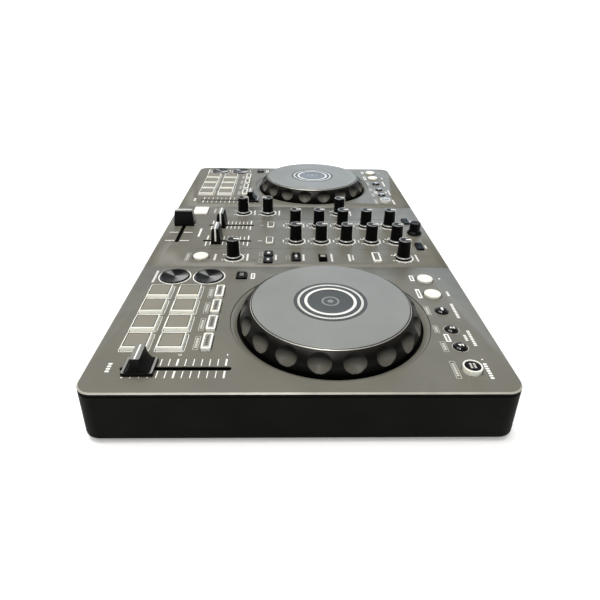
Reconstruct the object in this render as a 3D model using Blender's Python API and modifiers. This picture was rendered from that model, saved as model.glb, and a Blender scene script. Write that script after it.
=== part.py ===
"""A two-deck DJ controller: a flat case with jog wheels, pads, faders, knobs and keys.

Metres, +Z up. +Y is the back, with the sockets, and +X is the right-hand deck. The origin is under
the middle of the case, on the surface that the feet stand on. Each control is a separate piece that
turns, slides or presses in the top panel, and its stem reaches down to the circuit board.
"""
import math

import bmesh
import bpy
from mathutils import Matrix, Vector

# Case
CASE_WIDTH = 0.4826
CASE_DEPTH = 0.2724
CORNER_RADIUS = 0.0115
DECK_WIDTH = 0.1645
WALL = 0.0025
GAP = 0.0003
FOOT_HEIGHT = 0.0035
FOOT_RADIUS = 0.009
FOOT_INSET = 0.030
FOOT_STEPS = 16
CORNER_STEPS = 5
RIM_BEVEL = 0.0010
BASE_BEVEL = 0.0020

# Heights
PANEL_TOP = 0.0400
PANEL_THICKNESS = 0.0030
PANEL_UNDER = PANEL_TOP - PANEL_THICKNESS
CASE_BOTTOM = FOOT_HEIGHT
BOARD_THICKNESS = 0.0016
BOARD_TOP = 0.0190
BOARD_UNDER = BOARD_TOP - BOARD_THICKNESS
BOARD_MARGIN = 0.0080
BOARD_FRONT_Y = -0.1280
BOARD_BACK_Y = 0.1290
BOARD_NOTCH_X = 0.0600
BOARD_NOTCH_Y = 0.1080
SWITCH_TOP = 0.0300
STEM_END = SWITCH_TOP + 0.0016

# How far a piece is sunk into the one it is joined to, and how far a cutter reaches past what it cuts
SUNK = 0.0010
PAST = 0.0020

# Posts in the case: eight carry the board, and one under each jog wheel stops at HUB_TOP
POST_RADIUS = 0.0035
POST_COLUMNS = (-0.2220, -0.0700, 0.0700, 0.2220)
POST_ROWS = (-0.1180, 0.1000)
HUB_RADIUS = 0.0080
HUB_TOP = 0.0285
HUB_HOLE = 0.0100

# Jog wheels, measured from a deck's front left corner
JOG_PLACE = (0.0807, 0.1587)
JOG_RADIUS = 0.0668
JOG_RISE = 0.0135
JOG_PLATE_RADIUS = 0.0580
JOG_PLATE_THICKNESS = 0.0018
WELL_RADIUS = 0.0722
WELL_THROAT = 0.0676
WELL_DEPTH = 0.0060
WELL_SHELL = 0.0020
JOG_SHAFT_RADIUS = 0.0045
JOG_SHAFT_HOLE = JOG_SHAFT_RADIUS + 0.0006
JOG_SHAFT_DROP = 0.0025
JOG_HUB_RADIUS = 0.0080
JOG_ROOF = 0.0030
JOG_FLOOR_GAP = 0.0010
JOG_STEPS = 36

# Pads and mode keys, measured from a deck's front left corner
PAD_FIRST = (0.0460, 0.0254)
PAD_PITCH = (0.0227, 0.0235)
PAD_SIZE = 0.0184
PAD_RISE = 0.0029
PAD_SLOPE = 0.0006
MODE_KEY_Y = 0.0729
MODE_KEY_SIZE = (0.0178, 0.0068)
MODE_KEY_RISE = 0.0024
PAD_COLUMNS = 4
PAD_ROWS = 2
WEB_THICKNESS = 0.0010
WEB_TOP = PANEL_UNDER - GAP

# Other deck keys: place from the deck's front left corner, radius or size, and rise above the panel
CUE_PLACE = (0.0187, 0.0603)
PLAY_PLACE = (0.0187, 0.0313)
TRANSPORT_RADIUS = 0.0123
TRANSPORT_RISE = 0.0012
TRANSPORT_DISH = 0.0006
TRANSPORT_STEPS = 18
SHIFT_PLACE = (0.0175, 0.0879)
SHIFT_SIZE = (0.0108, 0.0088)
SHIFT_RISE = 0.0018
LOOP_IN_PLACE = (0.0231, 0.2442)
LOOP_OUT_PLACE = (0.0485, 0.2442)
LOOP_RADIUS = 0.0067
LOOP_RISE = 0.0026
BEAT_LOOP_PLACE = (0.0728, 0.2450)
CALL_LEFT_PLACE = (0.0980, 0.2450)
CALL_RIGHT_PLACE = (0.1188, 0.2450)
SMALL_KEY_RADIUS = 0.0046
SMALL_KEY_RISE = 0.0020
SYNC_PLACE = (0.1428, 0.2450)
SYNC_RADIUS = 0.0063
SYNC_RISE = 0.0034

# Tempo faders, measured from a deck's front left corner
TEMPO_X = 0.1412
TEMPO_MIDDLE_Y = 0.0570
TEMPO_HALF_SLOT = 0.0350
TEMPO_CAP_Y = {"left": 0.0820, "right": 0.0347}
TEMPO_CAP_HALF = (0.0085, 0.0100)
TEMPO_RIDGE_HALF = (0.0082, 0.0033)
TEMPO_CAP_RISE = 0.0130

# Mixer: columns from the middle of the case, rows from its front edge
CHANNEL_X = 0.0202
SIDE_X = 0.0575
TRIM_Y = 0.2352
KNOB_PITCH = 0.0250
CHANNEL_KNOBS = ("trim", "high", "mid", "low", "filter")
MASTER_LEVEL_Y = 0.1850
HEADPHONE_MIX_Y = 0.1045
HEADPHONE_LEVEL_Y = 0.0770
MICROPHONE_LEVEL_Y = 0.2346
EFFECT_LEVEL_Y = 0.0772
BROWSE_Y = 0.2580
LOAD_X = 0.0327
LOAD_Y = 0.2557
LOAD_SIZE = (0.0148, 0.0068)
CUE_ROW_Y = 0.1092
CUE_SIZE = (0.0140, 0.0075)
FILTER_ROW_Y = 0.2096
FILTER_SIZE = (0.0180, 0.0078)
CHANNEL_SELECT_Y = 0.1598
CHANNEL_SELECT_SLOT = (0.0165, 0.0072)
CHANNEL_SELECT_CAP = (0.0058, 0.0060)
CHANNEL_SELECT_RISE = 0.0020
EFFECT_ROW_Y = 0.1350
EFFECT_SIZE = (0.0160, 0.0078)
BEAT_KEY_X = 0.0069
BEAT_KEY_Y = 0.1093
BEAT_KEY_SIZE = (0.0126, 0.0078)
EFFECT_SWITCH_Y = 0.0473
EFFECT_SWITCH_RADIUS = 0.0069
SMART_FADER_PLACE = (-0.0625, 0.0285)
SMART_FADER_SIZE = (0.0215, 0.0160)
KEY_RISE = 0.0016
SMART_FADER_RISE = 0.0012

# Faders of the mixer
CHANNEL_FADER_MIDDLE_Y = 0.0673
CHANNEL_FADER_HALF_SLOT = 0.0237
CHANNEL_FADER_CAP_Y = 0.0572
CROSSFADER_Y = 0.0178
CROSSFADER_HALF_SLOT = 0.0240
CROSSFADER_CAP_X = -0.0225
CHANNEL_CAP_HALF = (0.0098, 0.0048)
CHANNEL_RIDGE_HALF = (0.0080, 0.0022)
CROSSFADER_CAP_HALF = (0.0060, 0.0105)
CROSSFADER_RIDGE_HALF = (0.0030, 0.0090)
MIXER_CAP_RISE = 0.0166
SLOT_HALF_WIDTH = 0.0015
FADER_STEM = (0.0010, 0.0016)
FADER_SHOULDER = 0.0030
# Share of the height above the shoulder, and share of the base's overhang that is left there
FADER_SCOOP = ((0.35, 0.30), (1.0, 0.0))

# Knobs
KNOB_FLANGE_RADIUS = 0.0073
KNOB_RADIUS = 0.0060
KNOB_TOP_RADIUS = 0.0056
KNOB_RISE = 0.0187
KNOB_STEPS = 12
SHAFT_RADIUS = 0.0028
BROWSE_FLANGE_RADIUS = 0.0075
BROWSE_RADIUS = 0.0055
BROWSE_RISE = 0.0122
BROWSE_GAP = 0.0012
BROWSE_BORE_RADIUS = 0.0032
BROWSE_BORE_TOP = PANEL_TOP + 0.0090

# Clearance between a control and its hole in the panel, and the flange that keeps it in
HOLE_CLEARANCE = 0.0004
RETAINER_LIP = 0.0010
RETAINER_THICKNESS = 0.0010
KEY_STEM = 0.0020
KEY_CORNER = 0.0009

# Sockets in the back wall and the headphone socket in the front wall
LINE_OUT_X = (0.150, 0.170)
LINE_OUT_CUP_RADIUS = 0.0070
LINE_OUT_SLEEVE_RADIUS = 0.0042
LINE_OUT_DEPTH = 0.0080
MIC_X = 0.112
MIC_BORE_RADIUS = 0.0033
MIC_NUT_RADIUS = 0.0058
USB_X = 0.080
USB_SLOT = (0.0090, 0.0033)
USB_DEPTH = 0.0070
SOCKET_Z = 0.0225
HEADPHONE_X = -0.190
HEADPHONE_BORE_RADIUS = 0.0018
HEADPHONE_NUT_RADIUS = 0.0038
SOCKET_STEPS = 16
SMALL_SOCKET_STEPS = 12
FLUSH = 0.0002

# Bodies of the sockets: half width, depth from the wall's inside, and top
LINE_OUT_BODY = (0.0090, 0.0120, SOCKET_Z + 0.0085)
LINE_OUT_PIN_RADIUS = 0.0016
MIC_BODY = (0.0080, 0.0180, 0.0305)
USB_BODY = (0.0055, 0.0090, 0.0260)
USB_FRONT = (0.0054, 0.0025)
USB_OPENING = (0.0060, 0.0030)
SOCKET_BOARD_X = (0.0680, 0.1820)
SOCKET_BOARD_DEPTH = 0.0200
SOCKET_BODY_UNDER = BOARD_UNDER - 0.0025

# Parts on the main board: half sizes of their bodies, whose tops are at SWITCH_TOP
PART_ROOT = BOARD_UNDER + 0.0005
POTENTIOMETER = (0.0050, 0.0060)
KEY_SWITCH = (0.0030, 0.0030)
TEMPO_FADER_BODY = (0.0045, 0.0400)
CHANNEL_FADER_BODY = (0.0045, 0.0280)
CROSSFADER_BODY = (0.0300, 0.0045)
HEADPHONE_BODY = (0.0045, 0.0070)
HEADPHONE_BODY_Y = -0.1250
HEADPHONE_BODY_TOP = 0.0275
HEADPHONE_BORE_END = HEADPHONE_BODY_Y + 0.0030

# Each deck's left edge
DECKS = {"left": -CASE_WIDTH / 2, "right": CASE_WIDTH / 2 - DECK_WIDTH}


def start_empty():
    """Remove every object and make the two collections."""
    for old in list(bpy.data.objects):
        bpy.data.objects.remove(old, do_unlink=True)
    for name in ("dj_controller", "cutters"):
        group = bpy.data.collections.new(name)
        bpy.context.scene.collection.children.link(group)
    return bpy.data.collections["dj_controller"], bpy.data.collections["cutters"]


PARTS, CUTTERS = start_empty()


def finish_material(name, color, roughness, metallic=0.0):
    """A plain Principled finish."""
    material = bpy.data.materials.new(name)
    material.use_nodes = True
    shader = material.node_tree.nodes["Principled BSDF"]
    shader.inputs["Base Color"].default_value = (*color, 1.0)
    shader.inputs["Roughness"].default_value = roughness
    shader.inputs["Metallic"].default_value = metallic
    return material


PANEL_FINISH = finish_material("panel", (0.205, 0.195, 0.175), 0.50)
CASE_FINISH = finish_material("case", (0.012, 0.012, 0.012), 0.55)
KNOB_FINISH = finish_material("knob", (0.015, 0.015, 0.016), 0.40)
JOG_FINISH = finish_material("jog_rim", (0.030, 0.030, 0.030), 0.45)
PLATE_FINISH = finish_material("jog_plate", (0.220, 0.240, 0.260), 0.38, 0.6)
PAD_FINISH = finish_material("pad", (0.300, 0.290, 0.260), 0.60)
WHITE_FINISH = finish_material("white_key", (0.800, 0.790, 0.720), 0.45)
BLACK_FINISH = finish_material("black_key", (0.020, 0.020, 0.020), 0.30)
METAL_FINISH = finish_material("spun_metal", (0.180, 0.175, 0.165), 0.25, 0.9)
SHAFT_FINISH = finish_material("shaft", (0.550, 0.550, 0.560), 0.35, 1.0)
BOARD_FINISH = finish_material("board", (0.030, 0.120, 0.060), 0.50)
SOCKET_FINISH = finish_material("socket", (0.100, 0.100, 0.100), 0.40)


def mixer_place(x, row):
    """World x and y from a column and a distance from the front edge."""
    return (x, row - CASE_DEPTH / 2)


def deck_place(side, place):
    """World x and y of a place that is measured from a deck's front left corner."""
    return (DECKS[side] + place[0], place[1] - CASE_DEPTH / 2)


def add_object(name, mesh, place, material=None):
    """Link a mesh as a part, or as a hidden cutter when it has no material."""
    piece = bpy.data.objects.new(name, mesh)
    piece.location = (place[0], place[1], place[2] if len(place) > 2 else 0.0)
    if material is None:
        CUTTERS.objects.link(piece)
        piece.hide_render = True
        piece.display_type = "WIRE"
    else:
        PARTS.objects.link(piece)
        mesh.materials.append(material)
    return piece


def mesh_from(bm, name):
    """Turn a bmesh into mesh data with its faces pointing out."""
    bmesh.ops.recalc_face_normals(bm, faces=bm.faces)
    mesh = bpy.data.meshes.new(name)
    bm.to_mesh(mesh)
    bm.free()
    return mesh


def add_block(bm, low, high, corner=0.0, segments=2):
    """Add a box between two corners, with its upright edges rounded."""
    size = Vector(high) - Vector(low)
    middle = (Vector(high) + Vector(low)) / 2
    made = bmesh.ops.create_cube(bm, size=1.0, matrix=Matrix.LocRotScale(middle, None, size))
    if corner > 0.0:
        edges = {edge for vert in made["verts"] for edge in vert.link_edges}
        upright = [e for e in edges if abs(e.verts[0].co.z - e.verts[1].co.z) > size.z / 2]
        bmesh.ops.bevel(bm, geom=upright, offset=corner, segments=segments, affect="EDGES", profile=0.5)


def add_rod(bm, place, radius, bottom, top, segments=12, axis="Z"):
    """Add a rod along Z, or along Y when axis says so; bottom and top are its ends on that axis."""
    turn = Matrix.Rotation(-math.pi / 2, 4, "X") if axis == "Y" else Matrix.Identity(4)
    centre = (place[0], (bottom + top) / 2, place[1]) if axis == "Y" else (*place[:2], (bottom + top) / 2)
    bmesh.ops.create_cone(
        bm, cap_ends=True, segments=segments, radius1=radius, radius2=radius,
        depth=top - bottom, matrix=Matrix.Translation(centre) @ turn)


def boolean(piece, other, operation):
    """Cut one object by another, or join them."""
    change = piece.modifiers.new(operation.lower() + "_" + other.name, "BOOLEAN")
    change.operation = operation
    change.solver = "EXACT"
    change.object = other


def turned(name, profile, steps, place, material):
    """Turn a profile of (radius, height) points about Z; it runs from the top down the outer side."""
    bm = bmesh.new()
    points = [bm.verts.new((radius, 0.0, height)) for radius, height in profile]
    for first, second in zip(points, points[1:]):
        bm.edges.new((first, second))
    mesh = bpy.data.meshes.new(name)
    bm.to_mesh(mesh)
    bm.free()
    piece = add_object(name, mesh, place, material)
    screw = piece.modifiers.new("turn", "SCREW")
    screw.steps = steps
    screw.render_steps = steps
    screw.use_merge_vertices = True
    screw.merge_threshold = 0.00001
    screw.use_smooth_shade = True
    return piece


def stepped_block(name, levels, corner, place, material):
    """A key with a rectangular outline: levels are (half x, half y, top, bottom) from the top down."""
    bm = bmesh.new()
    half_x, half_y, top, bottom = levels[0]
    add_block(bm, (-half_x, -half_y, bottom), (half_x, half_y, top), corner)
    for next_x, next_y, _, next_bottom in levels[1:]:
        face = min(bm.faces, key=lambda f: f.calc_center_median().z)
        inset = bmesh.ops.extrude_discrete_faces(bm, faces=[face])["faces"][0]
        for vert in inset.verts:
            vert.co.x *= next_x / half_x
            vert.co.y *= next_y / half_y
        lower = bmesh.ops.extrude_discrete_faces(bm, faces=[inset])["faces"][0]
        for vert in lower.verts:
            vert.co.z = next_bottom
        half_x, half_y = next_x, next_y
    return add_object(name, mesh_from(bm, name), place, material)


def rectangular_key(name, size, rise, place, material):
    """A key that is kept in by a lip under the panel and ends in a stem over its switch."""
    half_x, half_y = size[0] / 2, size[1] / 2
    lip_top = PANEL_UNDER - GAP
    levels = [
        (half_x, half_y, PANEL_TOP + rise, lip_top),
        (half_x + RETAINER_LIP, half_y + RETAINER_LIP, lip_top, lip_top - RETAINER_THICKNESS),
        (KEY_STEM, KEY_STEM, lip_top - RETAINER_THICKNESS, STEM_END),
    ]
    return stepped_block(name, levels, KEY_CORNER, place, material)


def round_key(name, radius, rise, place, material, steps=12, dish=0.0):
    """A round key with a lip under the panel and a stem over its switch."""
    top = PANEL_TOP + rise
    lip_top = PANEL_UNDER - GAP
    edge = 0.0005
    profile = [
        (0.0, top - dish), (radius - 3 * edge, top - dish / 2), (radius - edge, top), (radius, top - edge),
        (radius, lip_top), (radius + RETAINER_LIP, lip_top),
        (radius + RETAINER_LIP, lip_top - RETAINER_THICKNESS),
        (KEY_STEM, lip_top - RETAINER_THICKNESS), (KEY_STEM, STEM_END), (0.0, STEM_END)]
    return turned(name, profile, steps, place, material)


def knob(name, place):
    """A rotary knob with its shaft, which turns on the shaft's axis."""
    base = PANEL_TOP + GAP
    top = PANEL_TOP + KNOB_RISE
    profile = [
        (0.0, top), (KNOB_TOP_RADIUS - 0.0007, top), (KNOB_TOP_RADIUS, top - 0.0007),
        (KNOB_RADIUS, base + 0.0026), (KNOB_FLANGE_RADIUS, base + 0.0010), (KNOB_FLANGE_RADIUS, base),
        (SHAFT_RADIUS, base), (SHAFT_RADIUS, STEM_END), (0.0, STEM_END)]
    return turned(name, profile, KNOB_STEPS, place, KNOB_FINISH)


def build_browse_selector():
    """The selector knob, which turns without stops, on an encoder shaft that also presses down."""
    base = PANEL_TOP + BROWSE_GAP
    top = PANEL_TOP + BROWSE_RISE
    place = mixer_place(0.0, BROWSE_Y)
    cap = [
        (0.0, top), (BROWSE_RADIUS - 0.0008, top), (BROWSE_RADIUS, top - 0.0008),
        (BROWSE_RADIUS + 0.0003, base + 0.0022), (BROWSE_FLANGE_RADIUS, base + 0.0010),
        (BROWSE_FLANGE_RADIUS, base), (BROWSE_BORE_RADIUS, base), (BROWSE_BORE_RADIUS, BROWSE_BORE_TOP),
        (0.0, BROWSE_BORE_TOP)]
    turned("browse_knob", cap, KNOB_STEPS, place, KNOB_FINISH)
    shaft_top = BROWSE_BORE_TOP - GAP
    shaft = [(0.0, shaft_top), (SHAFT_RADIUS, shaft_top), (SHAFT_RADIUS, STEM_END), (0.0, STEM_END)]
    turned("browse_shaft", shaft, KNOB_STEPS, place, SHAFT_FINISH)


def fader_cap(name, half, ridge_half, rise, place, along):
    """A fader cap: a base, scooped sides up to a finger ridge, and a blade through the slot.

    half and ridge_half are half sizes in x and y, and along is the axis that the fader slides on.
    """
    base = PANEL_TOP + GAP
    shoulder = base + FADER_SHOULDER
    top = PANEL_TOP + rise
    bm = bmesh.new()
    add_block(bm, (-half[0], -half[1], base), (half[0], half[1], shoulder), 0.0008, 1)
    face = max(bm.faces, key=lambda f: f.calc_center_median().z)
    for height, spread in FADER_SCOOP:
        face = bmesh.ops.extrude_discrete_faces(bm, faces=[face])["faces"][0]
        for vert in face.verts:
            for axis in (0, 1):
                reach = ridge_half[axis] + (half[axis] - ridge_half[axis]) * spread
                vert.co[axis] = math.copysign(min(abs(vert.co[axis]), reach), vert.co[axis])
            vert.co.z = shoulder + (top - shoulder) * height
    bmesh.ops.remove_doubles(bm, verts=bm.verts, dist=0.00001)
    piece = add_object(name, mesh_from(bm, name), place, KNOB_FINISH)
    blade = FADER_STEM if along == "y" else FADER_STEM[::-1]
    blade_bm = bmesh.new()
    add_block(blade_bm, (-blade[0], -blade[1], STEM_END), (blade[0], blade[1], base + 0.0010))
    blade_piece = add_object(name + "_blade", mesh_from(blade_bm, name + "_blade"), place)
    boolean(piece, blade_piece, "UNION")
    return piece


def key_mat(name, blocks, web, material, slope=0.0):
    """Several keys moulded on one thin web under the panel.

    blocks are (x, y, half x, half y, rise) and web is (low x, low y, high x, high y), in the world.
    """
    bm = bmesh.new()
    add_block(bm, (web[0], web[1], WEB_TOP - WEB_THICKNESS), (web[2], web[3], WEB_TOP), 0.0010, 1)
    mat = add_object(name, mesh_from(bm, name), (0.0, 0.0), material)
    bm = bmesh.new()
    for x, y, half_x, half_y, rise in blocks:
        top = PANEL_TOP + rise
        root = WEB_TOP - WEB_THICKNESS / 2
        add_block(bm, (x - half_x, y - half_y, root), (x + half_x, y + half_y, top), KEY_CORNER)
        own = [v for v in bm.verts if abs(v.co.x - x) <= half_x + GAP and abs(v.co.y - y) <= half_y + GAP]
        for vert in own:
            if vert.co.z > PANEL_TOP:
                vert.co.x -= math.copysign(slope, vert.co.x - x)
                vert.co.y -= math.copysign(slope, vert.co.y - y)
    keys = add_object(name + "_keys", mesh_from(bm, name + "_keys"), (0.0, 0.0))
    boolean(mat, keys, "UNION")
    return mat


def pad_centres(side):
    """World places of a deck's eight pads."""
    centres = []
    for row in range(PAD_ROWS):
        for column in range(PAD_COLUMNS):
            place = (PAD_FIRST[0] + column * PAD_PITCH[0], PAD_FIRST[1] + row * PAD_PITCH[1])
            centres.append(deck_place(side, place))
    return centres


def mode_key_centres(side):
    """World places of a deck's four mode keys."""
    return [deck_place(side, (PAD_FIRST[0] + i * PAD_PITCH[0], MODE_KEY_Y)) for i in range(PAD_COLUMNS)]


def web_around(centres, half):
    """A web that reaches 1.2 mm past the outermost keys."""
    margin = 0.0012
    xs = [x for x, y in centres]
    ys = [y for x, y in centres]
    return (min(xs) - half[0] - margin, min(ys) - half[1] - margin,
            max(xs) + half[0] + margin, max(ys) + half[1] + margin)


def build_pads(side):
    """The pad mat and the mode keys of one deck."""
    half = PAD_SIZE / 2
    centres = pad_centres(side)
    pads = [(x, y, half, half, PAD_RISE) for x, y in centres]
    key_mat(side + "_pad_mat", pads, web_around(centres, (half, half)), PAD_FINISH, PAD_SLOPE)
    centres = mode_key_centres(side)
    half_x, half_y = MODE_KEY_SIZE[0] / 2, MODE_KEY_SIZE[1] / 2
    keys = [(x, y, half_x, half_y, MODE_KEY_RISE) for x, y in centres]
    key_mat(side + "_pad_mode_keys", keys, web_around(centres, (half_x, half_y)), WHITE_FINISH)


ROUND_DECK_KEYS = (
    ("_loop_in_button", LOOP_IN_PLACE, LOOP_RADIUS, LOOP_RISE, WHITE_FINISH),
    ("_loop_out_button", LOOP_OUT_PLACE, LOOP_RADIUS, LOOP_RISE, WHITE_FINISH),
    ("_beat_loop_button", BEAT_LOOP_PLACE, SMALL_KEY_RADIUS, SMALL_KEY_RISE, BLACK_FINISH),
    ("_sync_button", SYNC_PLACE, SYNC_RADIUS, SYNC_RISE, WHITE_FINISH),
)


def build_jog(side):
    """The wheel, a hollow turned ring on a shaft, and the touch plate on top of it."""
    place = deck_place(side, JOG_PLACE)
    top = PANEL_TOP + JOG_RISE
    seat = top - JOG_PLATE_THICKNESS
    rim_top = top - 0.0010
    inner = JOG_PLATE_RADIUS + GAP
    floor = PANEL_TOP - WELL_DEPTH + JOG_FLOOR_GAP
    roof = seat - JOG_ROOF
    shaft_end = PANEL_TOP - WELL_DEPTH - WELL_SHELL - JOG_SHAFT_DROP
    wheel = [
        (0.0, seat - GAP), (inner, seat - GAP), (inner, rim_top), (inner + 0.0013, rim_top),
        (JOG_RADIUS - 0.0018, PANEL_TOP + 0.0030), (JOG_RADIUS, PANEL_TOP + 0.0015), (JOG_RADIUS, floor),
        (JOG_RADIUS - 0.0035, floor), (JOG_PLATE_RADIUS - 0.0010, roof), (JOG_HUB_RADIUS, roof),
        (JOG_HUB_RADIUS, floor), (JOG_SHAFT_RADIUS, floor), (JOG_SHAFT_RADIUS, shaft_end), (0.0, shaft_end)]
    turned(side + "_jog_wheel", wheel, JOG_STEPS, place, JOG_FINISH)
    plate = [
        (0.0, top), (JOG_PLATE_RADIUS - 0.0022, top), (JOG_PLATE_RADIUS, top - 0.0012),
        (JOG_PLATE_RADIUS, seat), (0.0, seat)]
    turned(side + "_jog_plate", plate, JOG_STEPS, place, PLATE_FINISH)


def build_deck(side):
    """Every control of one deck."""
    build_jog(side)
    build_pads(side)
    round_key(side + "_cue_button", TRANSPORT_RADIUS, TRANSPORT_RISE, deck_place(side, CUE_PLACE),
              METAL_FINISH, TRANSPORT_STEPS, TRANSPORT_DISH)
    round_key(side + "_play_button", TRANSPORT_RADIUS, TRANSPORT_RISE, deck_place(side, PLAY_PLACE),
              METAL_FINISH, TRANSPORT_STEPS, TRANSPORT_DISH)
    shift_place = deck_place(side, SHIFT_PLACE)
    rectangular_key(side + "_shift_button", SHIFT_SIZE, SHIFT_RISE, shift_place, BLACK_FINISH)
    for title, place, radius, rise, material in ROUND_DECK_KEYS:
        round_key(side + title, radius, rise, deck_place(side, place), material)
    build_call_keys(side)
    tempo_place = deck_place(side, (TEMPO_X, TEMPO_CAP_Y[side]))
    fader_cap(side + "_tempo_fader_cap", TEMPO_CAP_HALF, TEMPO_RIDGE_HALF, TEMPO_CAP_RISE, tempo_place, "y")


def build_call_keys(side):
    """Two small round keys moulded on one web."""
    centres = [deck_place(side, CALL_LEFT_PLACE), deck_place(side, CALL_RIGHT_PLACE)]
    web = web_around(centres, (SMALL_KEY_RADIUS, SMALL_KEY_RADIUS))
    name = side + "_call_keys"
    bm = bmesh.new()
    add_block(bm, (web[0], web[1], WEB_TOP - WEB_THICKNESS), (web[2], web[3], WEB_TOP), 0.0010, 1)
    mat = add_object(name, mesh_from(bm, name), (0.0, 0.0), BLACK_FINISH)
    bm = bmesh.new()
    for centre in centres:
        add_rod(bm, centre, SMALL_KEY_RADIUS, WEB_TOP - WEB_THICKNESS / 2, PANEL_TOP + SMALL_KEY_RISE)
    keys = add_object(name + "_keys", mesh_from(bm, name + "_keys"), (0.0, 0.0))
    boolean(mat, keys, "UNION")


def knob_places():
    """Name and world place of every rotary control that has stops."""
    places = {}
    for channel, x in (("channel_1", -CHANNEL_X), ("channel_2", CHANNEL_X)):
        for row, title in enumerate(CHANNEL_KNOBS):
            places[channel + "_" + title + "_knob"] = mixer_place(x, TRIM_Y - row * KNOB_PITCH)
    places["master_level_knob"] = mixer_place(-SIDE_X, MASTER_LEVEL_Y)
    places["headphone_mix_knob"] = mixer_place(-SIDE_X, HEADPHONE_MIX_Y)
    places["headphone_level_knob"] = mixer_place(-SIDE_X, HEADPHONE_LEVEL_Y)
    places["microphone_level_knob"] = mixer_place(SIDE_X, MICROPHONE_LEVEL_Y)
    places["effect_level_knob"] = mixer_place(SIDE_X, EFFECT_LEVEL_Y)
    return places


def rectangular_mixer_keys():
    """Name, size, rise, world place and finish of the mixer's rectangular keys."""
    return [
        ("load_1_button", LOAD_SIZE, KEY_RISE, mixer_place(-LOAD_X, LOAD_Y), BLACK_FINISH),
        ("load_2_button", LOAD_SIZE, KEY_RISE, mixer_place(LOAD_X, LOAD_Y), BLACK_FINISH),
        ("channel_1_cue_button", CUE_SIZE, KEY_RISE, mixer_place(-CHANNEL_X, CUE_ROW_Y), BLACK_FINISH),
        ("channel_2_cue_button", CUE_SIZE, KEY_RISE, mixer_place(CHANNEL_X, CUE_ROW_Y), BLACK_FINISH),
        ("smart_filter_button", FILTER_SIZE, KEY_RISE, mixer_place(SIDE_X, FILTER_ROW_Y), WHITE_FINISH),
        ("effect_select_button", EFFECT_SIZE, KEY_RISE, mixer_place(SIDE_X, EFFECT_ROW_Y), BLACK_FINISH),
        ("smart_fader_button", SMART_FADER_SIZE, SMART_FADER_RISE, mixer_place(*SMART_FADER_PLACE),
         WHITE_FINISH),
    ]


def beat_key_centres():
    """World places of the two beat keys."""
    return [mixer_place(SIDE_X + side * BEAT_KEY_X, BEAT_KEY_Y) for side in (-1, 1)]


def build_mixer():
    """The knobs, faders and keys between the decks."""
    for name, place in knob_places().items():
        knob(name, place)
    build_browse_selector()
    for name, size, rise, place, material in rectangular_mixer_keys():
        rectangular_key(name, size, rise, place, material)
    half = (BEAT_KEY_SIZE[0] / 2, BEAT_KEY_SIZE[1] / 2)
    beat_keys = [(x, y, half[0], half[1], KEY_RISE) for x, y in beat_key_centres()]
    key_mat("beat_keys", beat_keys, web_around(beat_key_centres(), half), BLACK_FINISH)
    switch_place = mixer_place(SIDE_X, EFFECT_SWITCH_Y)
    round_key("effect_on_off_button", EFFECT_SWITCH_RADIUS, LOOP_RISE, switch_place, WHITE_FINISH)
    half_x, half_y = CHANNEL_SELECT_CAP[0] / 2, CHANNEL_SELECT_CAP[1] / 2
    levels = [(half_x, half_y, PANEL_TOP + CHANNEL_SELECT_RISE, PANEL_UNDER - GAP),
              (KEY_STEM, KEY_STEM, PANEL_UNDER - GAP, STEM_END)]
    select_place = mixer_place(SIDE_X, CHANNEL_SELECT_Y)
    stepped_block("channel_select_switch", levels, KEY_CORNER / 2, select_place, KNOB_FINISH)
    for number, x in ((1, -CHANNEL_X), (2, CHANNEL_X)):
        fader_cap("channel_%d_fader_cap" % number, CHANNEL_CAP_HALF, CHANNEL_RIDGE_HALF, MIXER_CAP_RISE,
                  mixer_place(x, CHANNEL_FADER_CAP_Y), "y")
    fader_cap("crossfader_cap", CROSSFADER_CAP_HALF, CROSSFADER_RIDGE_HALF, MIXER_CAP_RISE,
              mixer_place(CROSSFADER_CAP_X, CROSSFADER_Y), "x")


def cut_rectangle(bm, place, size):
    """Add a rectangular opening through the panel."""
    half_x = size[0] / 2 + HOLE_CLEARANCE
    half_y = size[1] / 2 + HOLE_CLEARANCE
    add_block(bm, (place[0] - half_x, place[1] - half_y, PANEL_UNDER - PAST),
              (place[0] + half_x, place[1] + half_y, PANEL_TOP + PAST))


def cut_round(bm, place, radius, segments=12):
    """Add a round opening through the panel, whose flats clear the piece in it."""
    clear = (radius + HOLE_CLEARANCE) / math.cos(math.pi / segments)
    add_rod(bm, place, clear, PANEL_UNDER - PAST, PANEL_TOP + PAST, segments)


def cut_deck_openings(bm, side):
    """Openings for one deck's keys, pads and tempo fader."""
    for place in pad_centres(side):
        cut_rectangle(bm, place, (PAD_SIZE, PAD_SIZE))
    for place in mode_key_centres(side):
        cut_rectangle(bm, place, MODE_KEY_SIZE)
    for place in (CUE_PLACE, PLAY_PLACE):
        cut_round(bm, deck_place(side, place), TRANSPORT_RADIUS, TRANSPORT_STEPS)
    for place in (LOOP_IN_PLACE, LOOP_OUT_PLACE):
        cut_round(bm, deck_place(side, place), LOOP_RADIUS)
    for place in (BEAT_LOOP_PLACE, CALL_LEFT_PLACE, CALL_RIGHT_PLACE):
        cut_round(bm, deck_place(side, place), SMALL_KEY_RADIUS)
    cut_round(bm, deck_place(side, SYNC_PLACE), SYNC_RADIUS)
    cut_rectangle(bm, deck_place(side, SHIFT_PLACE), SHIFT_SIZE)
    slot = (2 * SLOT_HALF_WIDTH, 2 * TEMPO_HALF_SLOT)
    cut_rectangle(bm, deck_place(side, (TEMPO_X, TEMPO_MIDDLE_Y)), slot)


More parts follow.
